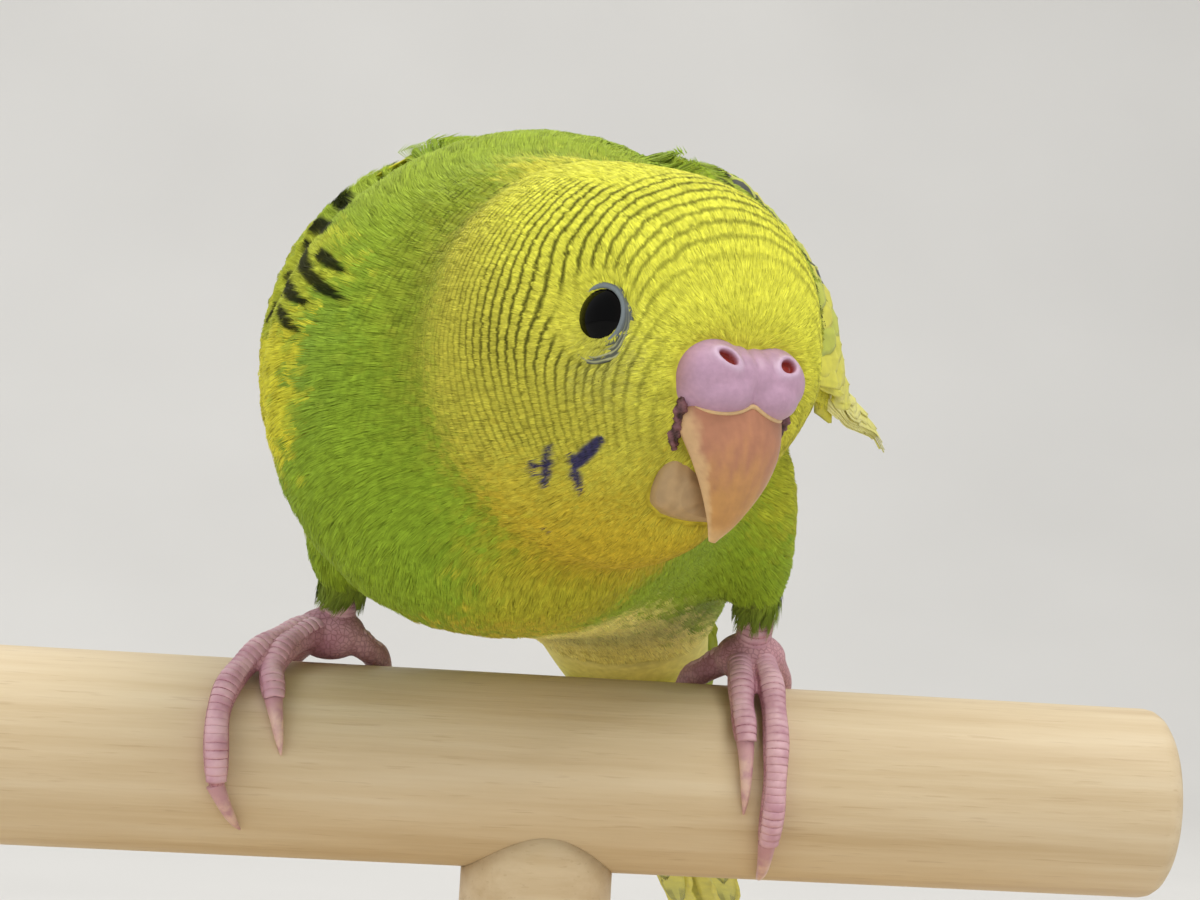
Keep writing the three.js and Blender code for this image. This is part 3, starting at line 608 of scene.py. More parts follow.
def near_strokes(places, strokes, scale):
    """1 on the strokes, falling to 0 just outside them. Scale brings their ends to the places' measure."""
    share = np.zeros(len(places))
    for start, end, half in strokes:
        start, end = np.multiply(start, scale), np.multiply(end, scale)
        course = end - start
        t = np.clip((places - start) @ course / (course @ course), 0, 1)
        away = np.linalg.norm(places - start - t[:, None] * course, axis=1)
        width = half * (0.6 + 0.4 * np.sin(np.pi * np.clip(t, 0.05, 0.95)))
        share = np.maximum(share, 1 - ramp(away, 0.65 * width, 1.25 * width))
    return share


def with_marks(points, colours):
    """The colours with the cheek patches and the black marks of the wings' bends."""
    head = HEAD.into(points)
    head[:, 1] = -np.abs(head[:, 1])
    wobble = 0.12 * noise(points, 0.9, 23)[:, None]
    blue = near_strokes(head * CHEEK_SQUEEZE + wobble, CHEEK_STROKES, CHEEK_SQUEEZE)
    blue *= ramp(-head[:, 1], 2.0, 5.0)
    body, around = round_body(points)
    places = np.stack([body[:, 0], DEGREE_REACH * around], 1) + wobble
    black = near_strokes(places, WING_STROKES, (1, DEGREE_REACH)) * ramp(np.abs(body[:, 1]), 8.0, 10.0)
    black *= ramp(-head[:, 0], 8.0, 12.0)
    return mix(mix(colours, CHEEK_BLUE, 0.92 * blue), MARK_BLACK, 0.95 * black)


def bar_phase(points):
    """Counts the thin dark bars: they fan up from the eye, and stand upright on the neck."""
    head = HEAD.into(points)
    height = np.maximum(head[:, 2] - BAR_POLE[1], 0)
    height = np.sqrt(height ** 2 + BAR_LOWEST ** 2)
    behind = BAR_POLE[0] - head[:, 0]
    fan = np.arctan2(height, -behind)
    rear = np.pi / 2 + behind / BAR_REAR_REACH
    angle = fan + (rear - fan) * ramp(behind, 2.0, 13.0)
    return angle / BAR_ANGLE + 0.13 * noise(points, 5.0, 11)


def bar_strength(points):
    head = HEAD.into(points)
    ahead, height = head[:, 0], head[:, 2]
    near_cere = np.linalg.norm(head - [12.0, 0.0, 2.0], axis=1)
    strength = ramp(near_cere, 5.0, 9.0) * (0.55 + 0.35 * ramp(-ahead, -10.5, -4.0))
    strength *= 1 - 0.25 * ramp(-ahead, -2.0, 5.0)
    strength *= 1 - 0.5 * ramp(-ahead, -1.0, 6.0) * ramp(-height, -9.0, -1.0)
    strength *= 1 - 0.5 * ramp(-height, 0.0, 4.0)
    patchy = ramp(noise(points, 1.7, 17), -0.8, 0.6)
    strength *= 1 - ramp(-ahead, -1.0, 7.0) * (1 - patchy)
    strength *= 1 - ramp(-ahead, 14.0, 20.0)
    chin = ramp(-height + 0.2 * ahead, 6.5, 9.0)
    eye = min_distance_to_eyes(points)
    return strength * (1 - chin) * (1 - 0.9 * nape_patch(head)) * ramp(eye, 2.8, 3.6)


def min_distance_to_eyes(points):
    head = HEAD.into(points)
    return np.minimum(*[np.linalg.norm(head - sided(EYE_POINT, side), axis=1) for side in (-1, 1)])


# Shaping

def evaluated(piece):
    """A piece's mesh with its modifiers applied."""
    graph = bpy.context.evaluated_depsgraph_get()
    return bpy.data.meshes.new_from_object(piece.evaluated_get(graph))


def read_model(model):
    """A model's points, over the perch in millimetres, and its faces."""
    points = np.array([v.co for v in model.verts]) * 1000 - [0, 0, PERCH_HEIGHT]
    return points, np.array([[v.index for v in f.verts] for f in model.faces])


def remeshed(points, faces, voxel):
    """One even skin round all the given surfaces: its points and triangles."""
    piece = new_mesh("draft", points, faces, SKIN)
    modifier = piece.modifiers.new("skin", "REMESH")
    modifier.mode = "VOXEL"
    modifier.voxel_size = voxel * 0.001
    done = evaluated(piece)
    model = bmesh.new()
    model.from_mesh(done)
    bmesh.ops.triangulate(model, faces=model.faces)
    points, faces = read_model(model)
    model.free()
    bpy.data.meshes.remove(done)
    bpy.data.objects.remove(piece)
    return largest_part(points, faces)


def largest_part(points, faces):
    """The connected part with the most points, with its points renumbered."""
    label = np.arange(len(points))
    edges = np.vstack([faces[:, [0, 1]], faces[:, [1, 2]]])
    while True:
        low = np.minimum(label[edges[:, 0]], label[edges[:, 1]])
        before = label.copy()
        np.minimum.at(label, edges[:, 0], low)
        np.minimum.at(label, edges[:, 1], low)
        label = label[label]
        if (label == before).all():
            break
    main = np.bincount(label).argmax()
    kept = label == main
    number = np.cumsum(kept) - 1
    return points[kept], number[faces[kept[faces[:, 0]]]]


def vertex_normals(points, faces):
    a, b, c = (points[faces[:, k]] for k in range(3))
    across = np.cross(b - a, c - a)
    normals = np.zeros_like(points)
    for k in range(3):
        for axis in range(3):
            normals[:, axis] += np.bincount(faces[:, k], across[:, axis], len(points))
    return unit(normals)


def smoothed(points, faces, rounds):
    edges = np.vstack([faces[:, [0, 1]], faces[:, [1, 2]], faces[:, [2, 0]]])
    count = np.bincount(edges[:, 0], minlength=len(points))[:, None]
    for _ in range(rounds):
        middle = np.stack([np.bincount(edges[:, 0], row[edges[:, 1]], len(points)) for row in points.T], 1)
        points = points + 0.5 * (middle / np.maximum(count, 1) - points)
    return points


# Face: cere, bill and gape, in the head's frame, with sizes as in the part's source

# Each lobe of the cere: centre and reaches, one on each side
CERE_LOBES = (
    ((10.9, 2.5, 0.2), (3.1, 2.9, 2.55)),
    ((9.8, 3.4, -0.6), (3.0, 2.1, 2.2)),
    ((11.9, 1.9, -0.8), (2.4, 2.6, 1.75)),
    ((11.0, 0.7, 0.1), (2.95, 1.6, 2.4)),
)
CERE_VOXEL = 0.09
CERE_EDGE_RADIUS = 0.17
NOSTRIL = (13.3, 2.6, 1.5)
NOSTRIL_SIZE = (0.74, 0.5)
NOSTRIL_TILT = 28.0
NOSTRIL_DEPTH = 0.55
# Each bill station: inner point x, z, outer point x, z, half width
BILL_UPPER = (
    (6.0, -3.6, 8.4, 0.6, 4.0), (8.2, -4.9, 12.2, 0.2, 4.45), (9.8, -6.0, 14.1, -3.0, 3.85),
    (10.8, -7.3, 14.3, -6.3, 2.75), (11.3, -9.2, 13.2, -9.3, 1.3), (11.4, -10.8, 11.8, -11.0, 0.3),
)
BILL_LOWER = (
    (4.8, -8.8, 4.6, -4.6, 2.6), (7.4, -9.8, 7.4, -4.5, 3.5), (9.8, -9.9, 10.4, -5.0, 4.0),
    (11.0, -9.4, 11.4, -6.6, 2.8),
)
GAPE_PATH = ((11.7, 4.55, -1.5), (11.2, 4.4, -2.8), (10.8, 4.15, -4.0), (10.6, 3.8, -5.2))
GAPE_RADIUS = 0.5

CERE_LILAC = linear("bd97ae")
CERE_ROSY = linear("ab8084")
NOSTRIL_RED = linear("8e2a1e")
NOSTRIL_RIM = linear("dcc0d6")
BILL_ORANGE = linear("c28f54")
BILL_PINK = linear("b47c5f")
BILL_PALE = linear("d9b684")
MANDIBLE_TAN = linear("b3946a")
GAPE_ROSE = linear("7f565a")
# Painted shade for the grooves of the gape's folds
GAPE_CREASE_SHADE = linear("402a28")


def ellipsoid(centre, reaches, columns=56, rows=32):
    """A ball stretched along each axis: its points and triangles."""
    polar = np.linspace(0.02, np.pi - 0.02, rows)[:, None]
    around = circle(columns)[None]
    ball = np.stack([np.cos(polar) + 0 * around, np.sin(polar) * np.cos(around),
                     np.sin(polar) * np.sin(around)], -1)
    return ring_mesh(ball * np.array(reaches) + np.array(centre))


def nostril_frame(side):
    """Place and axes of a nostril: outwards, and along and across its opening."""
    centre = sided(NOSTRIL, side)
    lobe, reaches = CERE_LOBES[0]
    outward = unit((centre - sided(lobe, side)) / np.array(reaches) ** 2)
    level = unit(np.cross([0, 0, 1], outward)) * side
    upright = np.cross(outward, level) * side
    tilt = np.radians(NOSTRIL_TILT)
    long_way = np.cos(tilt) * level + np.sin(tilt) * upright
    short_way = np.cos(tilt) * upright - np.sin(tilt) * level
    return centre, outward, long_way, short_way


def nostril_spread(points, side):
    """How far each point is from a nostril's middle, with its edge at 1."""
    centre, _, long_way, short_way = nostril_frame(side)
    away = points - centre
    spread = np.hypot(away @ long_way / NOSTRIL_SIZE[0], away @ short_way / NOSTRIL_SIZE[1])
    return np.where(np.linalg.norm(away, axis=1) < 2.5, spread, 9.0)


def cere_form():
    lobes = [ellipsoid(sided(centre, side), reaches) for centre, reaches in CERE_LOBES for side in (-1, 1)]
    points, faces = remeshed(*joined(lobes), CERE_VOXEL)
    points = smoothed(points, faces, 26)
    tint = mix(CERE_LILAC, CERE_ROSY, ramp(np.abs(points[:, 1]) - 0.5 * points[:, 0], -2.2, 0.2))
    tint = tint * (1 + 0.05 * noise(points, 1.6, 41))[:, None]
    for side in (-1, 1):
        _, outward, _, _ = nostril_frame(side)
        spread = nostril_spread(points, side)
        rim = np.exp(-((spread - 1.45) / 0.35) ** 2)
        pit = 1 - ramp(spread, 0.72, 1.12)
        tint = mix(mix(tint, NOSTRIL_RIM, 0.6 * rim), NOSTRIL_RED, 1 - ramp(spread, 0.85, 1.12))
        points = points + outward * (0.09 * rim - NOSTRIL_DEPTH * pit)[:, None]
    return points, faces, tint


def bill_rings(stations, count, sides, hollow, fullness=1.0):
    """Rings of a bill half. Its inner face is flatter than its outer one by the share `hollow`."""
    angle = circle(sides)
    across, level = (np.sign(f(angle)) * np.abs(f(angle)) ** fullness for f in (np.sin, np.cos))
    share = np.where(level < 0, hollow, 1.0) * level
    rings = []
    for inner_x, inner_z, outer_x, outer_z, half in curve_through(stations, count):
        inner, outer = np.array([inner_x, 0, inner_z]), np.array([outer_x, 0, outer_z])
        ring = (inner + outer) / 2 + share[:, None] * (outer - inner) / 2
        ring[:, 1] = half * across
        rings.append(ring)
    return np.array(rings)


def bill_upper_form(count=72, sides=64):
    rings = bill_rings(BILL_UPPER, count, sides, 0.45)
    points, faces = ring_mesh(rings)
    t = np.append(np.repeat(np.linspace(0, 1, count), sides), [0, 1])
    edge = np.append(np.tile(np.abs(np.sin(circle(sides))), count), [0, 0])
    streak = noise(points * [1.0, 1.6, 0.35], 1.3, 43)
    tint = mix(BILL_PINK, BILL_ORANGE, ramp(t + 0.08 * streak, 0.4, 0.75))
    tint = mix(tint, BILL_PALE, 0.75 * ramp(edge + 0.05 * streak, 0.86, 0.99))
    tint = mix(tint, BILL_PALE, 0.7 * ramp(t, 0.8, 0.97))
    return points, faces, tint * (1 + 0.06 * streak)[:, None]


def bill_lower_form(count=40, sides=56):
    points, faces = ring_mesh(bill_rings(BILL_LOWER, count, sides, 1.0, 0.72))
    ridge = np.sin(points[:, 1] * 7.0 + 0.6 * noise(points, 2.0, 44))
    middle = np.array([7.5, 0, -7.5])
    points = points + 0.035 * ridge[:, None] * unit(points - middle)
    tint = mix(MANDIBLE_TAN, BILL_PALE, 0.5 * ramp(points[:, 2], -7.0, -5.4))
    return points, faces, tint * (1 + 0.05 * ridge + 0.05 * noise(points, 1.5, 45))[:, None]


def gape_forms():
    """Wrinkled bare skin at each corner of the bill, with painted shade in the grooves of its folds."""
    forms = []
    for side in (-1, 1):
        path = curve_through([sided(p, side) for p in GAPE_PATH], 110)
        t = np.linspace(0, 1, 110)
        radii = GAPE_RADIUS * np.minimum(1, 5 * np.minimum(t + 0.02, 1.02 - t)) ** 0.5
        rings = sweep(path, radii, 36)
        outward = unit(rings - path[:, None]).reshape(-1, 3)
        points, faces = ring_mesh(rings)
        folds = noise(points * [1.0, 1.0, 1.3], 0.75, 47)[:-2]
        points[:-2] += outward * (0.14 * folds)[:, None]
        # Painted shade where the folds sink, and the skin's rose on the ridges
        tint = mix(GAPE_CREASE_SHADE, GAPE_ROSE, ramp(np.append(folds, [0, 0]), -0.8, 0.7))
        forms.append((points, faces, tint))
    points, faces = joined([form[:2] for form in forms])
    return points, faces, np.vstack([form[2] for form in forms])


def cere_border(cere_tree, bill_tree):
    """The line where the cere ends on the bill, from side to side."""
    line = []
    for y in np.linspace(-3.75, 3.75, 46):
        for z in np.linspace(-0.4, -4.0, 145):
            start, way = (20.0, y, z), (-1.0, 0.0, 0.0)
            on_cere = cere_tree.ray_cast(start, way, 12.0)[0]
            on_bill = bill_tree.ray_cast(start, way, 12.0)[0]
            if on_bill is not None and (on_cere is None or on_bill[0] > on_cere[0]):
                line.append(on_bill)
                break
    return np.array(line)


def tree_of(points, faces):
    return BVHTree.FromPolygons(points.tolist(), np.asarray(faces).tolist())


def horn_finish(name, roughness, grain, bump):
    """Smooth horn or bare skin, tinted point by point, with a fine grain."""
    made = Finish(name, roughness, 0.35)
    speckled = made.speckled_tint(grain, 0.06)
    made.paint(speckled["Colour"])
    made.rough(speckled["Height"], roughness - 0.08, roughness + 0.1)
    made.bump(speckled["Height"], bump, 0.00008)
    return made.material


CERE_SKIN = horn_finish("smooth cere", 0.36, 2600.0, 0.25)
BILL_HORN = horn_finish("bill horn", 0.34, 1500.0, 0.2)
BARE_SKIN = horn_finish("bare wrinkled skin", 0.5, 3000.0, 0.5)


def head_piece(name, form, surface, slot, *nodes):
    """A piece of the face, from its points in the head's frame, faces and tint."""
    points, faces, tint = form
    declare(new_mesh(name, HEAD.out(points), faces, surface, tint), slot, *nodes)


def build_face():
    """Cere, bill and gape. Returns the shape of cere and bill in one, over the perch."""
    cere, upper, lower = cere_form(), bill_upper_form(), bill_lower_form()
    border = smoothed_line(cere_border(tree_of(*cere[:2]), tree_of(*upper[:2])), 6)
    t = np.linspace(0, 1, len(border))
    radii = CERE_EDGE_RADIUS * np.minimum(1, 0.3 + 8 * np.minimum(t, 1 - t))
    points, faces = ring_mesh(sweep(border, radii, 12))
    head_piece("cere_skin", cere, CERE_SKIN, "cere", "cere")
    head_piece("cere_edge", (points, faces, np.tile(BILL_PALE, (len(points), 1))), CERE_SKIN, "cere")
    head_piece("bill_upper_horn", upper, BILL_HORN, "bill", "bill_upper")
    head_piece("bill_lower_horn", lower, BILL_HORN, "bill", "bill_lower")
    head_piece("gape_skin", gape_forms(), BARE_SKIN, "cere")
    points, faces = joined([form[:2] for form in (cere, upper, lower)])
    return HEAD.out(points), faces


def smoothed_line(line, rounds):
    for _ in range(rounds):
        line = np.vstack([line[:1], (line[:-2] + line[1:-1] * 2 + line[2:]) / 4, line[-1:]])
    return line


FACE = build_face()
FACE_TREE = tree_of(*FACE)


def near_face(points):
    """Distance to the cere and bill."""
    ahead = HEAD.into(points)[:, 0] > 4
    found = np.full(len(points), 20.0)
    found[ahead] = [FACE_TREE.find_nearest(p)[3] for p in points[ahead].tolist()]
    return found


# Skin

SKIN_SWELL = 0.22
SKIN_VOXEL = 0.42


def merged_copy(names, swell):
    """The CAD nodes' points and triangles in one, grown outwards a little, over the perch in mm."""
    parts = []
    for name in names:
        model = bmesh.new()
        model.from_mesh(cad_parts[name].data)
        bmesh.ops.remove_doubles(model, verts=model.verts, dist=2e-6)
        bmesh.ops.triangulate(model, faces=model.faces)
        model.normal_update()
        points, faces = read_model(model)
        normals = np.array([v.normal for v in model.verts])
        model.free()
        parts.append((points + normals * swell, faces))
    return joined(parts)


def coat_depth(points):
    """How thick the coat lies over the skin: thinnest round the eyes, cere and bill."""
    head = HEAD.into(points)
    near = np.minimum(min_distance_to_eyes(points) - 2.4, near_face(points))
    on_head = 0.14 + 0.18 * ramp(near, 0.5, 6.0)
    return on_head + 0.4 * ramp(-head[:, 0], 4.0, 16.0)


# Head, as in the part's source: place along, height of the middle, half width, reach upwards
# and reach downwards
HEAD_STATIONS = (
    (-12.0, 0.5, 10.5, 10.5, 11.5), (-8.0, 0.3, 13.2, 13.2, 14.0), (-3.0, 0.0, 14.1, 13.9, 14.8),
    (2.0, 0.0, 13.1, 13.7, 14.6), (6.0, 0.2, 11.7, 12.8, 13.6), (9.5, 0.4, 9.8, 10.6, 12.0),
    (11.8, 0.4, 7.2, 7.8, 9.4), (12.8, 0.2, 4.0, 5.0, 6.0),
)
JOWL_PINCH = 0.52
EYE_HOLLOW_DEPTH = 2.6
EYE_HOLLOW_RADIUS = 3.6
EYE_HOLLOW_SHIFT = (-0.6, 0.0, 0.0)
FACE_SINK = 0.55
# Where the skin swells and sinks beside the mandible, in the head's frame: middle, reach and depth
JOWL_SWELL = ((7.6, 4.8, -7.6), 1.9, 0.8)
MANDIBLE_SINK = ((11.0, 4.6, -6.2), 2.0, 0.45)
FILL_VOXEL = 1.3
FILL_ROUNDS = 60
FILL_REACH = 6.0


def head_form():
    """The head whole, as the part's source has it before the bill and cere are cut clear."""
    angle = circle(96)
    rings = []
    for x, z, half, up, down in curve_through(HEAD_STATIONS, 60):
        narrow = 1 - JOWL_PINCH * ramp(x, -4, 10) * np.maximum(-np.sin(angle), 0)
        across = (half + SKIN_SWELL) * np.cos(angle) * narrow
        rise = (np.where(np.sin(angle) > 0, up, down) + SKIN_SWELL) * np.sin(angle)
        rings.append(np.stack([np.full(96, x), across, z + rise], 1))
    points, faces = ring_mesh(rings)
    for side in (-1, 1):
        axis = unit(sided(EYE_AXIS, side))
        away = points - sided(EYE_POINT, side) - EYE_HOLLOW_SHIFT
        height = away @ axis
        aside = np.sqrt(np.maximum((away ** 2).sum(1) - height ** 2, 0))
        share = np.where(height > -4, np.exp(-(aside / EYE_HOLLOW_RADIUS) ** 2), 0)
        points = points - axis * (EYE_HOLLOW_DEPTH * share)[:, None]
    return HEAD.out(points), faces


def thigh_forms():
    """Each thigh whole, as the part's source has it before the wing is cut clear."""
    forms = []
    for path in THIGHS.values():
        steps = curve_through(path, 16)
        centres, radii = steps[:, :3], steps[:, 3]
        forms.append(ring_mesh(sweep(centres, radii + SKIN_SWELL - 0.4, 24)))
    return forms


def crease_fill(points, faces):
    """How far each point moves outwards where the plumage bridges the crease behind the head."""
    rough_points, rough_faces = remeshed(points, faces, FILL_VOXEL)
    rough = tree_of(smoothed(rough_points, rough_faces, FILL_ROUNDS), rough_faces)
    fill = np.zeros((len(points), 1))
    for i, (point, normal) in enumerate(zip(points.tolist(), vertex_normals(points, faces).tolist())):
        found, facing, _, distance = rough.ray_cast(point, normal, FILL_REACH)
        if found is not None and facing.dot(Vector(normal)) > 0:
            fill[i] = distance
    clear = ramp(min_distance_to_eyes(points), 4.5, 8.0) * ramp(near_face(points), 2.0, 5.0)
    return 1.1 * smoothed(fill * clear[:, None], faces, 6)


def build_skin():
    trunk = merged_copy(FLESH[:2], SKIN_SWELL)
    points, faces = remeshed(*joined([trunk, head_form()] + thigh_forms()), SKIN_VOXEL)
    points = smoothed(points, faces, 6)
    normals = vertex_normals(points, faces)
    points, faces = remeshed(points + normals * crease_fill(points, faces), faces, SKIN_VOXEL)
    points = smoothed(points, faces, 8)
    normals = vertex_normals(points, faces)
    head = HEAD.into(points)
    head[:, 1] = np.abs(head[:, 1])
    front = ramp(head[:, 0] - 0.35 * head[:, 2], 9.5, 12.0)
    sink = FACE_SINK * (1 - ramp(near_face(points), 0.2, 2.2)) * front
    sink = sink - about(head, *JOWL_SWELL) + about(head, *MANDIBLE_SINK)
    points = points - normals * (SKIN_SWELL + coat_depth(points) + sink)[:, None]
    return smoothed(points, faces, 3), faces


skin_points, skin_faces = build_skin()
skin_tree = tree_of(skin_points, skin_faces)


def skin_map(points):
    """An unwrap of the skin's own shape: round the bird's long axis, and along it."""
    body = BODY.into(points)
    along = (body[:, 0] + 34.0) / 72.0
    across = body[:, 1] - 0.17 * np.maximum(body[:, 0] - 10, 0)
    around = np.arctan2(across, body[:, 2] + 3.0) / (2 * np.pi) + 0.5
    return 0.02 + 0.96 * np.stack([around, np.clip(along, 0, 1)], 1)


# The skin takes the coat's colours and marks a tenth darker: painted shade in the gaps under the feathers.
skin = new_mesh(
    "bird_skin", skin_points, skin_faces, SKIN, with_marks(skin_points, plumage_tint(skin_points) * 0.9),
    {"phase": bar_phase(skin_points), "barring": bar_strength(skin_points)})
declare(skin, "plumage", *FLESH)


# Eyes and their lids

LID_PROFILE = ((2.02, -1.25), (1.87, -0.74), (1.86, -0.58), (1.92, -0.49), (2.04, -0.46), (2.18, -0.52))
LID_REACH = 2.36
LID_FRONT_REACH = 1.2
LID_FRONT = -52.0
LID_RIM = linear("7b8486")
LID_GREY = linear("666d70")
LID_SHADE = linear("55584c")
# Painted light on the crests of the wrinkles before the eye
LID_CREST_LIGHT = linear("b0b080")


def eye_finish():
    made = Finish("wet eye", 0.04, 0.12)
    made.paint(made.ramp(made.attribute("rim"), (0.5, linear("020202")), (0.62, linear("090605")),
                         (0.8, linear("050404"))))
    speck = made.noise(2500, 2)
    made.rough(speck, 0.03, 0.07)
    return made.material


EYE_GLOSS = eye_finish()


def eye_axes(side):
    """Outwards, to the front and up, for one eye."""
    axis = unit(sided(EYE_AXIS, side))
    front = unit(np.array([1.0, 0, 0]) - axis * axis[0])
    upright = np.cross(front, axis)
    return axis, front, upright * np.sign(upright[2])


def eyeball(side):
    axis, front, upright = eye_axes(side)
    polar = np.linspace(0.02, np.pi - 0.02, 40)
    way = spokes(circle(64), front, upright)
    rings = [eye_centre(side) + EYE_RADIUS * (np.cos(p) * axis + np.sin(p) * way) for p in polar]
    points, faces = ring_mesh(rings)
    rim = np.append(np.repeat(np.sin(polar), 64), [0, 0])
    return points, faces, rim


def lid(side, columns=120):
    """Thin lids round the opening, and the wrinkled bare skin below and before the eye."""
    axis, front, upright = eye_axes(side)
    tip = sided(EYE_POINT, side)
    around = circle(columns)
    way = spokes(around, front, upright)
    bare = np.maximum(np.cos(around - np.radians(LID_FRONT)), 0) ** 1.5
    reach = LID_REACH + LID_FRONT_REACH * bare + 0.05 * np.sin(7 * around)
    rows = [tip + way * radius + axis * height for radius, height in LID_PROFILE]
    tints = [np.tile(LID_GREY if k < 2 else LID_RIM, (columns, 1)) for k in range(len(LID_PROFILE))]
    tints[-1] = tints[-1] * 0.7 + LID_GREY * 0.3
    start, level = LID_PROFILE[-1]
    for share in np.linspace(0.1, 1.0, 16):
        radius = start + (reach - start) * share
        flat = tip + way * radius[:, None]
        above = HEAD.out(flat + axis * 3)
        down = HEAD.turn_out(-axis)
        under = np.array([skin_tree.ray_cast(p, down.tolist(), 9.0)[3] or 4.5 for p in above.tolist()]) - 3
        fold = np.sin(2 * np.pi * (3.6 * share + 0.2 * np.sin(3 * around) + 0.1 * np.sin(11 * around)))
        height = level + (0.24 + 0.12 * bare - 0.25 * share - under - level) * ramp(share, 0.0, 0.9)
        height = height + 0.06 * fold * bare * (1 - share ** 4)
        rows.append(flat + axis * height[:, None])
        # The bare skin is painted in shade, with painted light on the crests of the wrinkles before the
        # eye.
        skin_tint = mix(LID_SHADE, LID_CREST_LIGHT, ramp(fold, 0.1, 0.9) * bare * ramp(share, 0.15, 0.5))
        tints.append(mix(LID_GREY, skin_tint, ramp(share, 0.0, 0.35) * (0.3 + 0.7 * bare)))
    rows.append(rows[-1] - axis * 0.35)
    tints.append(tints[-1])
    rows = np.array(rows)
    count = len(rows)
    faces = grid_faces(count + 1, columns, closed=True) % (count * columns)
    points = rows.reshape(-1, 3)
    return points, facing_out(points, halved(faces)), np.vstack(tints)


def build_eyes():
    lids = []
    for side, name in ((1, "left"), (-1, "right")):
        points, faces, rim = eyeball(side)
        ball = new_mesh(f"eye_{name}_ball", HEAD.out(points), faces, EYE_GLOSS, values={"rim": rim})
        declare(ball, "eye", f"eye_{name}")
        form = lid(side)
        head_piece(f"eye_{name}_lids", form, BARE_SKIN, "cere")
        lids.append((HEAD.out(form[0]), form[1]))
    return joined(lids)


LIDS = build_eyes()


# Coat

def flow(points):
    """The way that the feathers point: back from the bill over the head, then along the body."""
    head = HEAD.into(points)
    from_bill = HEAD.turn_out(unit(head - [13.5, 0.0, 1.0]))
    down_body = BODY.turn_out(np.tile([-1.0, 0.0, -0.12], (len(points), 1)))
    share = ramp(np.linalg.norm(head + [2.0, 0, 0], axis=1), 13.0, 24.0)
    way = mix(from_bill, down_body, share)
    for side in (-1, 1):
        eye = sided(EYE_POINT, side)
        way = way + about(head, eye, 4.5, 1.1)[:, None] * HEAD.turn_out(unit(head - eye))
    return unit(way)


class Ground:
    """A surface that feathers lie on."""

    def __init__(self, points, faces):
        self.points, self.faces = points, faces
        self.tree = tree_of(points, faces)

    def outward(self, places):
        return unit(np.array([self.tree.find_nearest(p)[1] for p in places.tolist()]))


SKIN_GROUND = Ground(skin_points, skin_faces)


def scattered(ground, spacing, draws, candidates):
    """Roots on the ground, no two nearer than the spacing asked for at the place."""
    a, b, c = (ground.points[ground.faces[:, k]] for k in range(3))
    area = np.linalg.norm(np.cross(b - a, c - a), axis=1)
    middle = (a + b + c) / 3
    weight = area / spacing(middle) ** 2
    chosen = draws.choice(len(ground.faces), candidates, p=weight / weight.sum())
    one, two = draws.uniform(size=(2, candidates, 1))
    over = one + two > 1
    one, two = np.where(over, 1 - one, one), np.where(over, 1 - two, two)
    roots = a[chosen] + one * (b - a)[chosen] + two * (c - a)[chosen]
    reach = spacing(roots)
    tree = KDTree(candidates)
    for i, root in enumerate(roots):
        tree.insert(root, i)
    tree.balance()
    free = np.ones(candidates, bool)
    kept = []
    for i in range(candidates):
        if free[i]:
            kept.append(i)
            for _, j, _ in tree.find_range(roots[i], reach[i]):
                free[j] = False
    return roots[kept]


def laid_on(ground, roots, lengths, lifts, way, above):
    """For each feather, the centre, outward and side directions at a few steps of its length."""
    centres, outwards = [], []
    place = roots.copy()
    heading = way.copy()
    steps = lifts.shape[1]
    step = (lengths / (steps - 1))[:, None]
    for i in range(steps):
        found = [ground.tree.find_nearest(p) for p in place.tolist()]
        level = np.array([f[0] for f in found])
        outward = unit(np.array([f[1] for f in found]))
        if outwards:
            outward = unit(outward + outwards[-1])
        heading = unit(heading - outward * np.einsum("ij,ij->i", heading, outward)[:, None])
        centres.append(level + outward * lifts[:, i:i + 1])
        outwards.append(outward)
        place = level + heading * step + outward * above
    centres, outwards = np.array(centres), np.array(outwards)
    ahead = unit(np.gradient(centres, axis=0))
    sides = unit(np.cross(outwards, ahead))
    return centres, outwards, sides


TUFT_BELLY = 0.62


def tuft_form(barbs, fan=0.3):
    """A small feather as a fan of fine barbs, two triangles each: places along, across and raised,
    the barb that each point belongs to, and triangles."""
    along, across, raised, owner, faces = [], [], [], [], []
    half = 1.25 / barbs
    for k in range(barbs):
        u = 2 * (k + 0.5) / barbs - 1
        tip = 1.0 - fan * u * u
        start = 4 * k
        along += [0.03 + 0.1 * abs(u), TUFT_BELLY * tip, TUFT_BELLY * tip, tip]
        across += [0.35 * u, 0.86 * u - half, 0.86 * u + half, 0.9 * u]
        layer = 0.10 * ((3 * k) % 4) / 4
        raised += [0.0, layer + 0.06 * (1 - abs(u)), layer + 0.06 * (1 - abs(u)), 0.02]
        owner += [k] * 4
        faces += [(start, start + 1, start + 2), (start + 1, start + 3, start + 2)]
    return np.array(along), np.array(across), np.array(raised), np.array(owner), np.array(faces)


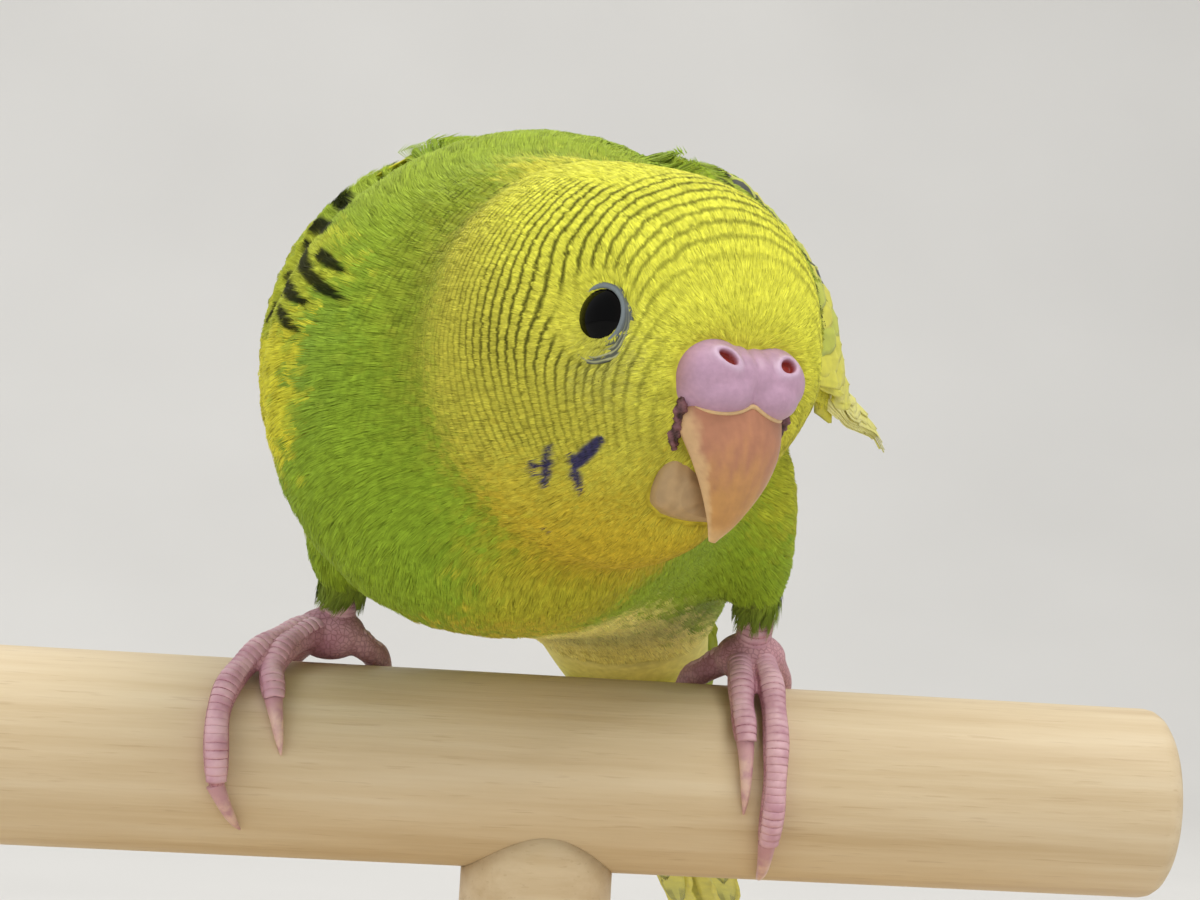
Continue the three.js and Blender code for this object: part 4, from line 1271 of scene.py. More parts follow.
def grown(form, laid, widths, draws):
    """Every feather of one form, from its place on the skin: points and directions outwards."""
    along, across, raised, owner, faces = form
    centres, outwards, sides = laid
    steps, count = centres.shape[:2]
    loose = draws.normal(size=(count, owner.max() + 1)) * BARB_SPREAD
    tilt = draws.normal(size=count) * 0.05
    points = np.empty((count, len(along), 3))
    normals = np.empty_like(points)
    for k, (t, u, h) in enumerate(zip(along, across, raised)):
        reach = min(t, 1.08) * (steps - 1)
        i = min(int(reach), steps - 2)
        share = reach - i
        centre = mix(centres[i], centres[i + 1], share)
        outward = mix(outwards[i], outwards[i + 1], share)
        side = mix(sides[i], sides[i + 1], share)
        stray = loose[:, owner[k]]
        aside = (u + 0.6 * stray * t) * widths * 0.5
        lift = (h + tilt * u + 0.12 * np.abs(stray) * t) * widths * 0.5
        points[:, k] = centre + side * aside[:, None] + outward * lift[:, None]
        normals[:, k] = outward + side * (0.35 * u + 0.9 * stray)[:, None]
    return points.reshape(-1, 3), unit(normals.reshape(-1, 3)), faces


def all_faces(faces, count, size):
    """One feather's triangles for each of `count` feathers of `size` points."""
    return (np.asarray(faces)[None] + (np.arange(count) * size)[:, None, None]).reshape(-1, 3)


def patch_map(roots, form):
    """Each feather is a small patch at its root's place on the skin's unwrap."""
    along, across = form[0], form[1]
    local = np.stack([across, along - 0.5], 1) * 0.0015
    return (skin_map(roots)[:, None] + local[None]).reshape(-1, 2)


def even(gap):
    """A spacing that is the same everywhere."""
    return lambda places: np.full(len(places), gap)


def facing_away(ground, roots):
    """Outwards at each root, and how squarely that is away from the body's axis."""
    outward = ground.outward(roots)
    away = BODY.turn_out(unit(BODY.into(roots) * [0, 1, 1]))
    return outward, np.einsum("ij,ij->i", outward, away)


def open_roots(ground, over, roots, least):
    """The roots that face away from the body and have nothing of `over` close above them."""
    outward, facing = facing_away(ground, roots)
    kept = facing > least
    for i in np.nonzero(kept)[0]:
        start = roots[i] + outward[i] * 0.15
        kept[i] = over.ray_cast(start.tolist(), outward[i].tolist(), 4.0)[0] is None
    return roots[kept]


def drawn_sizes(draws, count, length, width, rise, steps, scale=1.0, depth=1.0):
    """Lengths, widths and lifts at each step for feathers, drawn between limits."""
    lengths = scale * draws.uniform(*length, count)
    widths = scale * draws.uniform(*width, count)
    return lengths, widths, np.outer(depth * draws.uniform(*rise, count), steps)


def coat_piece(name, roots, way, sizes, form, draws, tints, ground=None, above=0.0, slot="plumage",
               marks=with_marks):
    """One joined mesh of feathers over the skin or another ground."""
    lengths, widths, lifts = sizes
    laid = laid_on(ground or SKIN_GROUND, roots, lengths, lifts, way, above)
    points, normals, faces = grown(form, laid, widths, draws)
    size = len(form[0])
    count = len(roots)
    along = np.tile(form[0], count)
    shade = 0.86 + 0.2 * np.clip(along, 0, 1)
    shade *= np.repeat(1 + 0.05 * draws.normal(size=count), size)
    owner = form[3]
    barbs = (count, owner.max() + 1)
    per_barb = 1 + BARB_CONTRAST * draws.normal(size=barbs)
    per_barb *= 1 - DARK_BARB_SHADE * (draws.uniform(size=barbs) < DARK_BARB_SHARE)
    shade *= per_barb[:, owner].reshape(-1)
    tint = marks(points, np.repeat(tints, size, axis=0)) * shade[:, None]
    piece = new_mesh(
        name, points, all_faces(faces, count, size), COAT,
        np.clip(tint, 0, 1), patches=patch_map(roots, form), normals=normals,
        values={"phase": bar_phase(points) + np.repeat(0.06 * draws.normal(size=count), size),
                "barring": bar_strength(points)})
    declare(piece, slot)


def coat_spacing(points):
    head = HEAD.into(points)
    near = np.minimum(min_distance_to_eyes(points) - 2.4, near_face(points))
    size = 0.15 + 0.04 * ramp(near, 0.6, 2.5) + 0.08 * ramp(near, 2.5, 9.0)
    return size + 0.22 * ramp(-head[:, 0], 2.0, 22.0)


def clear_of_parts(roots, outward):
    """False where the wings, tail, feet, lids, cere or bill cover the skin."""
    limbs = tree_of(*merged_copy(["foot_left", "foot_right", "tail", "wing_left", "wing_right"], 0.0))
    bare = tree_of(*joined([FACE, LIDS]))
    clear = []
    for root, out in zip(roots, outward):
        under_limb = limbs.ray_cast((root + out * 0.1).tolist(), out.tolist(), 2.6)[0] is not None
        _, normal, _, distance = bare.ray_cast(root.tolist(), out.tolist(), 3.0)
        inside = normal is not None and (normal.dot(out.tolist()) > 0 or distance < 0.4)
        clear.append(not under_limb and not inside)
    return np.array(clear)


# Roots tried over the skin, and over the smaller grounds
COAT_CANDIDATES = 320000
CANDIDATES = 60000
BARB_SPREAD = 0.25
BARB_CONTRAST = 0.09
DARK_BARB_SHADE = 0.3
DARK_BARB_SHARE = 0.06
FACE_PLUME = tuft_form(8)
BODY_PLUME = tuft_form(14)
COAT_PIECE_LIMIT = 180000


def build_coat():
    draws = np.random.default_rng(5)
    roots = scattered(SKIN_GROUND, coat_spacing, draws, COAT_CANDIDATES)
    roots = roots[clear_of_parts(roots, SKIN_GROUND.outward(roots))]
    way = unit(flow(roots) + 0.07 * draws.normal(size=roots.shape))
    sizes = drawn_sizes(draws, len(roots), (6.0, 8.0), (2.2, 2.9), (0.7, 1.05), (0.05, 0.5, 0.85, 1.0),
                        coat_spacing(roots), coat_depth(roots))
    tints = plumage_tint(roots + 0.8 * draws.normal(size=roots.shape))
    ahead = HEAD.into(roots)[:, 0]
    on_face = ahead > -6
    for label, chosen, form in (("face", on_face, FACE_PLUME), ("body", ~on_face, BODY_PLUME)):
        order = np.nonzero(chosen)[0]
        order = order[np.argsort(-ahead[order])]
        pieces = int(np.ceil(len(order) * len(form[4]) / COAT_PIECE_LIMIT))
        for number, some in enumerate(np.array_split(order, pieces), 1):
            coat_piece(f"coat_{label}_{number}", roots[some], way[some], [part[some] for part in sizes],
                       form, draws, tints[some])


build_coat()


# Long feathers: vanes of wings and tail

VANE_COLUMNS = np.array([-1.0, -0.72, -0.4, -0.12, 0.0, 0.12, 0.42, 0.75, 1.0])
VANE_THICKNESS = 0.14


def vane(place, length, width, power, draws, rows, slope=0.0, splits=1):
    """One closed feather, from place(t, aside, height) for its points: points, quads, t and u."""
    t = np.linspace(0, 1, rows) ** 0.9
    half = 0.5 * width * np.minimum(1, 0.55 + 1.8 * t) * np.sqrt(np.maximum(1 - t ** power, 0))
    edge = np.ones((rows, len(VANE_COLUMNS)))
    for side in (0, -1):
        ragged = 1 + 0.035 * draws.normal(size=rows)
        for _ in range(splits):
            at = draws.integers(rows // 3, rows - 3)
            ragged[at] *= draws.uniform(0.6, 0.85)
        edge[:, side] = ragged
    across = VANE_COLUMNS[None] * edge
    aside = across * np.maximum(half, 0.06)[:, None]
    times = np.repeat(t[:, None], len(VANE_COLUMNS), 1)
    wave = 0.02 * width * np.sin(7 * times + draws.uniform(0, 6)) * np.abs(across)
    middle = -slope * aside - 0.03 * width * across ** 2 + wave
    shaft = 0.09 * (1 - 0.7 * times) * (np.abs(across) < 0.05)
    thin = VANE_THICKNESS * (1 - 0.5 * np.abs(across)) * (1 - 0.5 * times)
    top = place(times.ravel(), aside.ravel(), (middle + thin / 2 + shaft).ravel())
    under = place(times.ravel(), aside.ravel(), (middle - thin / 2).ravel())
    points = np.vstack([top, under])
    return {
        "points": points, "faces": facing_out(points, slab_faces(rows, len(VANE_COLUMNS))),
        "t": np.tile(times.ravel(), 2), "u": np.tile(across.ravel(), 2), "length": length, "width": width,
    }


def vane_piece(name, vanes, paint):
    """Many vanes in one mesh. paint(vane) gives each point's tint and darkness."""
    points, faces, tints, darks, barbs, cells = [], [], [], [], [], []
    start = 0
    grid = int(np.ceil(np.sqrt(len(vanes))))
    for number, one in enumerate(vanes):
        tint, dark = paint({**one, "number": number})
        points.append(one["points"])
        faces.append(one["faces"] + start)
        tints.append(tint)
        darks.append(dark)
        barbs.append(one["t"] * one["length"] - 0.62 * np.abs(one["u"]) * one["width"])
        under = np.repeat([0, 1], len(one["t"]) // 2)
        cell = np.array([number % grid, number // grid]) / grid
        local = np.stack([0.25 + 0.2 * one["u"] + 0.5 * under, 0.05 + 0.9 * one["t"]], 1)
        cells.append(cell + local * 0.94 / grid)
        start += len(one["points"])
    piece = new_mesh(
        name, np.vstack(points), np.vstack(faces), VANES,
        np.clip(np.vstack(tints), 0, 1), {"dark": np.concatenate(darks), "barb": np.concatenate(barbs)},
        np.vstack(cells))
    declare(piece, "vanes")


def vane_finish():
    """Smooth vanes with fine slanting barbs and crisp dark markings."""
    made = Finish("feather vanes", 0.5, 0.3, Sheen_Weight=0.1)
    barb = made.maths("PINGPONG", made.maths("DIVIDE", made.attribute("barb"), 0.24), 0.5)
    colour = made.speckled_tint(900.0, 0.10)["Colour"]
    streaked = made.blend(made.maths("MULTIPLY", barb, 0.22), colour,
                          made.blend(1.0, colour, (0.62, 0.62, 0.5), "MULTIPLY"))
    ragged = made.maths("ADD", made.attribute("dark"),
                        made.maths("MULTIPLY", made.maths("SUBTRACT", barb, 0.25), 0.25))
    mask = made.ramp(ragged, (0.44, 0.0), (0.56, 1.0))
    made.paint(made.blend(mask, streaked, linear("23261c")))
    made.bump(barb, 0.25, 0.00006)
    return made.material


VANES = vane_finish()

# Wings, as in the part's source: x, half width, height of the middle, half height,
# lowest and highest angle round the body
LEFT_WING = (
    (11.5, 18.4, 0.5, 18.6, 2, 34), (8.0, 18.9, 0.5, 19.4, -2, 46), (0.0, 19.0, 0.5, 20.0, -2, 62),
    (-10.0, 18.8, 0.0, 18.8, -1, 74), (-22.0, 18.4, -1.0, 14.4, 4, 76), (-36.0, 18.0, -1.0, 11.2, 7, 64),
    (-46.0, 17.8, -0.8, 11.2, 8, 46), (-56.0, 17.4, -0.3, 11.2, 8, 34), (-68.0, 17.0, 0.4, 11.2, 7, 22),
    (-81.0, 16.4, 0.7, 11.2, 3, 9),
)
RIGHT_WING = (
    (12.0, 19.4, 0.0, 19.0, -8, 30), (8.5, 20.1, 0.0, 20.1, -22, 44),
    (0.0, 20.1, 0.0, 21.3, -26, 64), (-10.0, 19.2, -1.4, 19.9, -28, 78),
    (-22.0, 16.8, -5.0, 16.3, -28, 80), (-36.0, 13.2, -8.4, 12.2, -26, 66),
    (-46.0, 10.6, -9.6, 11.5, -24, 42), (-56.0, 8.6, -10.6, 11.0, -20, 26),
    (-68.0, 6.4, -11.4, 11.0, -12, 14), (-81.0, 4.6, -12.2, 11.0, -2, 6),
)
WING_SMOOTH = {1: curve_through(LEFT_WING, 64), -1: curve_through(RIGHT_WING, 64)}
PRIMARY_TIPS = (-70, -78, -81, -79.5, -75, -69, -63, -57, -52, -47.5)
SECONDARY_TIPS = (-44.5, -43, -41.5, -40.5, -39.5, -39, -38.5, -39, -39.5, -38, -35)
# Vanes of the fan: width, how square the tip is, and rows of points
PRIMARY_VANE = (3.8, 3.2, 34)
SECONDARY_VANE = (6.4, 5.0, 24)
PRIMARY_SHARE = 0.42
VANE_SLOPE = 0.12
FAN_RISE = 0.17
FAN_ROOT = -2.0
COVER_X = (-40.0, -18.0, -10.0, 0.0, 8.0, 12.0)
COVER_HEIGHT = (2.9, 2.9, 2.7, 2.3, 1.8, 0.7)
LEFT_SWELL = 1.2
INNER_TAPER = 0.7


def left_swell(x, v):
    """How far the left wing stands out past the head, most at its lower front."""
    along = (0.25 + 0.75 * ramp(x, -14.0, -4.0)) * ramp(x, -40.0, -25.0) * (1 - ramp(x, 8.0, 12.0))
    return LEFT_SWELL * along * (1 - ramp(v, 0.25, 0.75))


def wing_points(side, x, v, height):
    """Points of a wing: x along the body, v from its lower to its upper edge, and height above it."""
    rows = WING_SMOOTH[side]
    x = np.asarray(x, float)
    half, middle, rise, low, high = (np.interp(-x, -rows[:, 0], rows[:, k]) for k in range(1, 6))
    angle = np.radians(low + (high - low) * v)
    out = unit(np.stack([np.cos(angle) / half, np.sin(angle) / rise], -1))
    height = height * (1 - INNER_TAPER * ramp(v, 0.72, 1.0))
    if side > 0:
        height = height + left_swell(x, v)
    across = half * np.cos(angle) + out[..., 0] * height
    up = middle + rise * np.sin(angle) + out[..., 1] * height
    return BODY.out(np.stack([x, side * across, up], -1))


def wing_depth(side, x):
    x = np.atleast_1d(np.asarray(x, float))
    v = np.linspace(0, 1, 9)
    points = wing_points(side, x[:, None] + 0 * v, v + 0 * x[:, None], 0.0)
    return np.linalg.norm(np.diff(points, axis=1), axis=2).sum(axis=1)


def fan_places(side, x):
    """For each x, where every vane of the folded fan lies across the wing and how high."""
    primaries, secondaries = len(PRIMARY_TIPS), len(SECONDARY_TIPS)
    share = PRIMARY_SHARE + (1 - PRIMARY_SHARE) * ramp(-x, 40, 58)
    places = [share * (0.04 + 0.93 * i / primaries) for i in range(primaries)]
    places += [share + (1 - share) * (i + 0.3) / secondaries for i in range(secondaries)]
    places = np.array(places)
    depth = wing_depth(side, x)
    gaps = np.diff(places, axis=0) * depth
    climb = np.vstack([np.zeros_like(x), np.cumsum(np.maximum(FAN_RISE - VANE_SLOPE * gaps, 0.03), axis=0)])
    return places, climb, depth


def within(side, v, deep):
    """Keeps the vanes of the left wing from hanging below its lower edge."""
    if side < 0:
        return v
    lowest = 1.0 / deep
    return np.where(v < lowest, lowest - 0.25 * (lowest - v), v)


def wing_fan(side, draws):
    vanes = []
    tips = PRIMARY_TIPS + SECONDARY_TIPS
    for i, tip in enumerate(tips):
        def place(t, aside, height):
            x = FAN_ROOT + (tip - FAN_ROOT) * t
            stations = np.linspace(FAN_ROOT, tip, 40)
            places, climb, depth = fan_places(side, stations)
            v, up, deep = (np.interp(-x, -stations, row) for row in (places[i], climb[i], depth))
            return wing_points(side, x, within(side, v + aside / deep, deep), 0.9 + up + height)

        width, power, rows = PRIMARY_VANE if i < len(PRIMARY_TIPS) else SECONDARY_VANE
        vanes.append(vane(place, FAN_ROOT - tip, width, power, draws, rows, VANE_SLOPE))
    return vanes


def cover_vane(side, root, tip, v, width, draws, low=1.0):
    """One covert that lies along the wing's outer face."""
    def place(t, aside, height):
        x = root + (tip - root) * t
        level = np.interp(x, COVER_X, COVER_HEIGHT) - low * (1 - t)
        deep = wing_depth(side, x)
        return wing_points(side, x, within(side, v + aside / deep, deep), level + height)
    return vane(place, root - tip, width, 4.0, draws, rows=12, slope=0.08, splits=0)


# Rows of coverts: root, tip, how many, width
COVERT_ROWS = (
    (-5.0, -17.5, 12, 5.4), (-0.5, -9.5, 12, 4.6), (2.5, -5.0, 13, 3.6), (4.5, -1.8, 14, 3.0),
)
COVERT_HIGHEST = 0.84


def wing_coverts(side, draws):
    vanes = []
    for row, (root, tip, count, width) in enumerate(COVERT_ROWS):
        for i in range(count):
            v = (i + 0.25 + 0.5 * (row % 2)) / count
            if v > COVERT_HIGHEST:
                continue
            shift = draws.normal() * 0.3
            one = cover_vane(side, root + shift, tip + shift, v, width, draws)
            vanes.append({**one, "row": row, "v": v})
    return vanes


# Places along and degrees round the body of a line of painted shade on the left wing, along the edge of the
# head
HEAD_EDGE_SHADE = ((7.0, 42.0), (1.0, 31.0), (-8.0, 22.5), (-15.0, 9.0))
HEAD_EDGE_SHADE_HALF = 0.35
QUILL_PALE = linear("f2ea90")
QUILL_GREEN = linear("8fa24a")


def head_edge_shade(points):
    """1 on the line of painted shade on the left wing, falling to 0 beside it."""
    body, around = round_body(points)
    strokes = [(a, b, HEAD_EDGE_SHADE_HALF) for a, b in zip(HEAD_EDGE_SHADE, HEAD_EDGE_SHADE[1:])]
    places = np.stack([body[:, 0], DEGREE_REACH * around], 1)
    return near_strokes(places, strokes, (1, DEGREE_REACH)) * (body[:, 1] > 0)


def paint_flight(one):
    t, u, number = one["t"], one["u"], one["number"]
    outer = QUILL_PALE if number < len(PRIMARY_TIPS) else WING_LIME
    inner = number > len(PRIMARY_TIPS) + 5
    tint = mix(outer, WING_YELLOW, 0.35 + 0.3 * ramp(t, 0.5, 1.0))
    tint = mix(tint, QUILL_GREEN, ramp(u, -0.2, 0.6) * (0.5 if inner else 0.12))
    dark = ramp(u, 0.1, 0.5) * ramp(t, 0.1, 0.4) * (1 - ramp(t, 0.86, 0.96)) * (1.0 if inner else 0.0)
    return tint, dark * np.repeat([0.9, 0.0], len(t) // 2)


def paint_covert(one):
    t, u = one["t"], one["u"]
    row, v = one["row"], one["v"]
    pale = mix(WING_YELLOW, WING_LIME, 0.35 + 0.3 * np.sin(3.1 * one["number"]))
    tint = mix(pale, WING_LIME, 0.7 * ramp(1 - t, 0.3, 0.9))
    crescent = 1 - np.abs(t + 0.16 * u ** 2 - 0.66) / 0.24
    dark = np.clip(crescent, 0, 1) * (1 - ramp(np.abs(u), 0.55, 0.95)) * 1.2
    if row < 2:
        dark = ramp(1 - np.abs(u), 0.3, 0.6) * ramp(t, 0.0, 0.3) * (1 - ramp(t + 0.12 * u ** 2, 0.78, 0.9))
    if v < 0.16:
        dark = dark * 0.0
        tint = np.tile(WING_YELLOW, (len(t), 1))
    if BODY.into(one["points"])[:, 1].mean() > 0:
        dark = dark * ramp(np.full(len(t), v), 0.35, 0.6)
    # Painted shade along the head's edge, across the coverts
    dark = np.maximum(dark, 1.2 * head_edge_shade(one["points"]))
    return tint, np.clip(dark, 0, 1)


def wing_arm(side):
    """The closed bed that carries the vanes' roots."""
    rows, columns = 40, 18
    t = np.linspace(0, 1, rows)[:, None] + np.zeros(columns)
    v = np.linspace(0.0, 1.0, columns)[None] + np.zeros((rows, 1))
    x = 11.2 + (-26.0 - 11.2) * t
    crown = np.sqrt(np.clip(np.sin(np.pi * np.clip(v, 0.02, 0.98)), 0, 1))
    cover = np.interp(x, COVER_X, COVER_HEIGHT) - 0.8
    thick = cover * crown * ramp(t, -0.05, 0.08) * (1 - 0.6 * ramp(t, 0.6, 1))
    top = wing_points(side, x.ravel(), v.ravel(), (0.25 + thick).ravel())
    under = wing_points(side, x.ravel(), v.ravel(), 0.15)
    points = np.vstack([top, under])
    return points, facing_out(points, halved(slab_faces(rows, columns)))


def scalloped(points, colours):
    """The small coverts' colours: a dark crescent in every feather, then the marks of the bend."""
    body, around = round_body(points)
    row = -body[:, 0] / SCALLOP_ROW
    cell = DEGREE_REACH * around / SCALLOP_WIDTH + 0.5 * (np.floor(row) % 2)
    t, u = row % 1, cell % 1 - 0.5
    crescent = 1 - np.abs(t + 0.9 * u ** 2 - 0.62) / 0.3
    dark = ramp(crescent + 0.1 * noise(points, 0.8, 29), 0.1, 0.5) * (1 - ramp(np.abs(u), 0.34, 0.46))
    dark *= 1 - ramp(body[:, 0], 8.0, 9.5)
    dark *= ramp(around, 6.0, 12.0)
    # Painted shade along the head's edge
    dark = np.maximum(dark, head_edge_shade(points))
    return with_marks(points, mix(colours, MARK_BLACK, 0.9 * dark))


SCALLOP_ROW = 2.9
SCALLOP_WIDTH = 2.7
WING_DOWN_GAP = 0.36
WING_PLUME = tuft_form(12)


def wing_coat(name, arm, draws):
    """The small soft feathers over the front of the wing."""
    roots = scattered(arm, even(WING_DOWN_GAP), draws, CANDIDATES)
    body, around = round_body(roots)
    kept = (body[:, 0] > -5.5) & (facing_away(arm, roots)[1] > 0.1)
    roots, around = roots[kept], around[kept]
    count = len(roots)
    way = BODY.turn_out(unit(np.array([-1.0, 0.0, -0.1]) + 0.08 * draws.normal(size=(count, 3))))
    sizes = drawn_sizes(draws, count, (1.9, 2.6), (0.85, 1.1), (0.3, 0.5), (0.05, 0.5, 0.85, 1.0))
    tints = mix(WING_YELLOW, WING_LIME, ramp(around + 6 * noise(roots, 5.0, 37), 8.0, 24.0))
    tints = mix(tints, BACK_GREEN, 0.8 * ramp(around, 48.0, 66.0))
    coat_piece(f"wing_{name}_down", roots, way, sizes, WING_PLUME, draws, tints, arm, slot="vanes",
               marks=scalloped)


MANTLE_PLUME = tuft_form(22, fan=0.4)
MANTLE_LOWEST = 50.0
MANTLE_GAP = 0.72


def build_mantle(ground, over):
    """Longer soft feathers over the back and the wings' inner edges."""
    draws = np.random.default_rng(9)
    roots = scattered(ground, even(MANTLE_GAP), draws, CANDIDATES)
    body, around = round_body(roots)
    lowest = MANTLE_LOWEST + 2.5 * noise(roots, 6.0, 51) + 10 * ramp(body[:, 0], 2.0, 9.0)
    kept = (body[:, 0] > -23) & (body[:, 0] < 9.5) & (around > lowest)
    roots = open_roots(ground, over, roots[kept], 0.2)
    count = len(roots)
    aside = np.sign(BODY.into(roots)[:, 1:2]) * [0, 0.12, 0] + [-1.0, 0, -0.1]
    way = unit(BODY.turn_out(aside) + 0.09 * draws.normal(size=(count, 3)))
    sizes = drawn_sizes(draws, count, (4.0, 6.2), (1.5, 2.1), (0.35, 0.75), (0.1, 0.7, 1.0, 0.85))
    tints = mix(BACK_GREEN, FLANK_GREEN, ramp(noise(roots, 4.0, 53), -1.0, 1.0))
    tints = mix(tints, WING_LIME, 0.25 * ramp(draws.uniform(size=count), 0.6, 1.0))
    coat_piece("mantle_feathers", roots, way, sizes, MANTLE_PLUME, draws, tints, ground, above=1.2)


def build_shoulders(ground, over):
    """Small feathers from the breast's side over the front edge of each wing."""
    draws = np.random.default_rng(13)

    def spacing(places):
        return np.where(np.abs(BODY.into(places)[:, 0] - 12.5) < 4.5, 0.38, 3.0)

    roots = scattered(ground, spacing, draws, CANDIDATES)
    body, around = round_body(roots)
    kept = (body[:, 0] > 8.5) & (body[:, 0] < 16.0) & (around > -30) & (around < 84)
    roots = open_roots(ground, over, roots[kept], 0.1)
    count = len(roots)
    way = unit(flow(roots) + 0.08 * draws.normal(size=(count, 3)))
    sizes = drawn_sizes(draws, count, (2.6, 3.6), (0.8, 1.1), (0.3, 0.55), (0.1, 0.6, 1.0, 1.0))
    coat_piece("shoulder_feathers", roots, way, sizes, WING_PLUME, draws, plumage_tint(roots), ground,
               above=1.0)


def bed_piece(name, points, faces, colour, node):
    """The solid bed under vanes, in one colour and without bars."""
    none = np.zeros(len(points))
    bed = new_mesh(name, points, faces, COAT, np.tile(colour, (len(points), 1)),
                   {"phase": none, "barring": none})
    declare(bed, "vanes", node)


def build_wings():
    arms = []
    for side, name in ((1, "left"), (-1, "right")):
        draws = np.random.default_rng(20 + side)
        points, faces = wing_arm(side)
        arms.append((points, faces))
        wing_coat(name, Ground(points, faces), draws)
        # The arm is painted a little darker than the wing's yellow: painted shade under the vanes.
        bed_piece(f"wing_{name}_arm", points, faces, WING_YELLOW * 0.95, f"wing_{name}")
        vane_piece(f"wing_{name}_flight", wing_fan(side, draws), paint_flight)
        vane_piece(f"wing_{name}_coverts", wing_coverts(side, draws), paint_covert)
    ground, over = Ground(*joined([(skin_points, skin_faces)] + arms)), tree_of(*joined(arms))
    build_mantle(ground, over)
    build_shoulders(ground, over)


build_wings()


# Tail

# The tail's root: place along, half width, reach upwards and reach downwards
TAIL_ROOT = (
    (-1, 8.2, 6.0, 5.2), (5, 7.4, 4.8, 4.8), (12, 6.2, 2.6, 3.8), (20, 4.4, 0.8, 2.6), (26, 2.6, 0.2, 1.6),
)
RECTRICES = (86.0, 72.0, 62.0, 54.0, 47.0, 41.0)
TAIL_GREEN = linear("a3ad58")
TAIL_YELLOW = linear("ece25a")


def tail_points(x, y, z):
    return TAIL.out(np.stack([x, y, z - 0.1 * np.abs(y)], -1))


def tail_vanes(draws):
    vanes = []
    for pair, length in enumerate(RECTRICES):
        for side in (1, -1):
            level = -0.5 * ((1 - side) / 2 if pair == 0 else pair + 1)
            out = side * (1.25 if pair == 0 else 2.5 + 0.28 * (pair - 1))

            def place(t, aside, height):
                x = 5 + (length - 5) * t
                return tail_points(x, out + aside, level + 0.25 + height)

            vanes.append({**vane(place, length - 5, 4.8, 3.0, draws, rows=30), "pair": pair})
    return vanes


def tail_covert_vanes(draws):
    vanes = []
    for upper in (True, False):
        for row, reach in enumerate((34.0, 28.0, 22.0, 17.0)):
            count = 8 - row
            for i in range(count):
                across = 2 * i / (count - 1) - 1
                tip = reach - 6 * across * across + draws.normal()
                bend = 1 if upper else -1
                out = (4.4 + 0.5 * row) * across

                def place(t, aside, height):
                    x = 3 + (tip - 3) * t
                    rise = (1.5 if upper else 3.5) + 0.5 * row
                    arch = (1 - 0.35 * across * across) * (1 + 1.6 * (1 - t) ** 2)
                    return tail_points(x, out * (1 - 0.3 * t) + aside, bend * (rise * arch * 0.8 + height))

                one = vane(place, tip - 3, 5.4, 4.0, draws, rows=12, splits=0)
                vanes.append({**one, "upper": upper})
    return vanes


def paint_tail(one):
    t, u = one["t"], one["u"]
    if one["pair"] == 0:
        above = np.repeat([1.0, 0.15], len(t) // 2)
        green = ramp(t, 0.1, 0.4) * (0.5 + 0.5 * ramp(np.abs(u), 1.2, 0.4))
        return mix(TAIL_YELLOW, TAIL_GREEN, above * green), 0 * t
    tint = mix(TAIL_YELLOW, TAIL_GREEN, 0.5 * ramp(t, 0.8, 0.95))
    return tint, 0.8 * ramp(t, 0.86, 0.93) * ramp(np.abs(u), -0.2, 0.4) * 0.6


def paint_tail_covert(one):
    t = one["t"]
    if one["upper"]:
        return mix(BACK_GREEN, WING_LIME, t * 0.6), 0 * t
    # The under coverts are painted lighter than the belly's yellow: painted light on the shaded underside.
    return mix(BELLY_YELLOW, TAIL_YELLOW, t) * 1.15, 0 * t


def build_tail():
    draws = np.random.default_rng(31)
    angle = circle(32)
    rings = []
    for x, half, up, down in curve_through(TAIL_ROOT, 16):
        rise = np.where(np.sin(angle) > 0, up, down) * np.sin(angle)
        rings.append(TAIL.out(np.stack([np.full(32, x), half * np.cos(angle), rise], 1)))
    # The root is painted darker than the belly's yellow: painted shade under the coverts.
    bed_piece("tail_root", *ring_mesh(rings), BELLY_YELLOW * 0.85, "tail")
    vane_piece("tail_feathers", tail_vanes(draws), paint_tail)
    vane_piece("tail_coverts", tail_covert_vanes(draws), paint_tail_covert)


build_tail()


# Feet and claws. Toes as in the part's source: place along the perch, degrees round it towards
# the front, and lift off it. The last point of each is the tip of its claw.

TOES = {
    "left": {
        2: ((16.4, -6, 1.6), (15.6, 20, 0.6), (15.3, 45, 0), (15.4, 68, 0), (15.6, 106, 0)),
        3: ((17.3, -6, 1.6), (17.8, 20, 0.6), (17.9, 48, 0), (17.8, 86, 0), (17.7, 122, 0), (18.0, 160, 0)),
        4: ((17.8, 0, 1.4), (19.8, -14, 0.4), (20.8, -42, 0), (21.0, -72, 0), (20.7, -98, 0),
            (20.4, -128, 0)),
        1: ((15.9, 0, 1.2), (13.6, -12, 0.2), (12.5, -36, 0), (12.3, -58, 0), (12.2, -86, 0)),
    },
    "right": {
        2: ((-18.2, -2, 1.4), (-21.2, 15, 0.7), (-22.8, 36, 0), (-22.6, 58, 0), (-21.8, 86, 0)),
        3: ((-18.6, -8, 1.6), (-22.3, 14, 0.7), (-25.3, 38, 0), (-26.9, 66, 0), (-26.7, 104, 0),
            (-24.6, 132, 0)),
        4: ((-18.8, 4, 1.2), (-20.8, -20, 0.3), (-22.4, -46, 0), (-22.8, -76, 0), (-22.4, -102, 0),
            (-21.8, -132, 0)),
        1: ((-17.4, 2, 1.2), (-14.9, -10, 0.2), (-13.5, -34, 0), (-13.2, -58, 0), (-13.0, -86, 0)),
    },
}
SHANKS = {
    "left": ((16.6, -4.2, 15.8), (16.8, -2.6, 13.0), (16.9, -0.6, 11.0)),
    "right": ((-17.2, -1.6, 15.2), (-17.6, 0, 12.8), (-18.2, 0.8, 11.0)),
}
TOE_RADIUS = 1.22
TOE_TIP_RADIUS = 0.95
SHANK_RADIUS = 1.5
PALM_REACHES = (3.0, 2.6, 2.2)
PALM_DROP = 0.55
TOE_CLEARANCE = 0.12
FOOT_VOXEL = 0.14
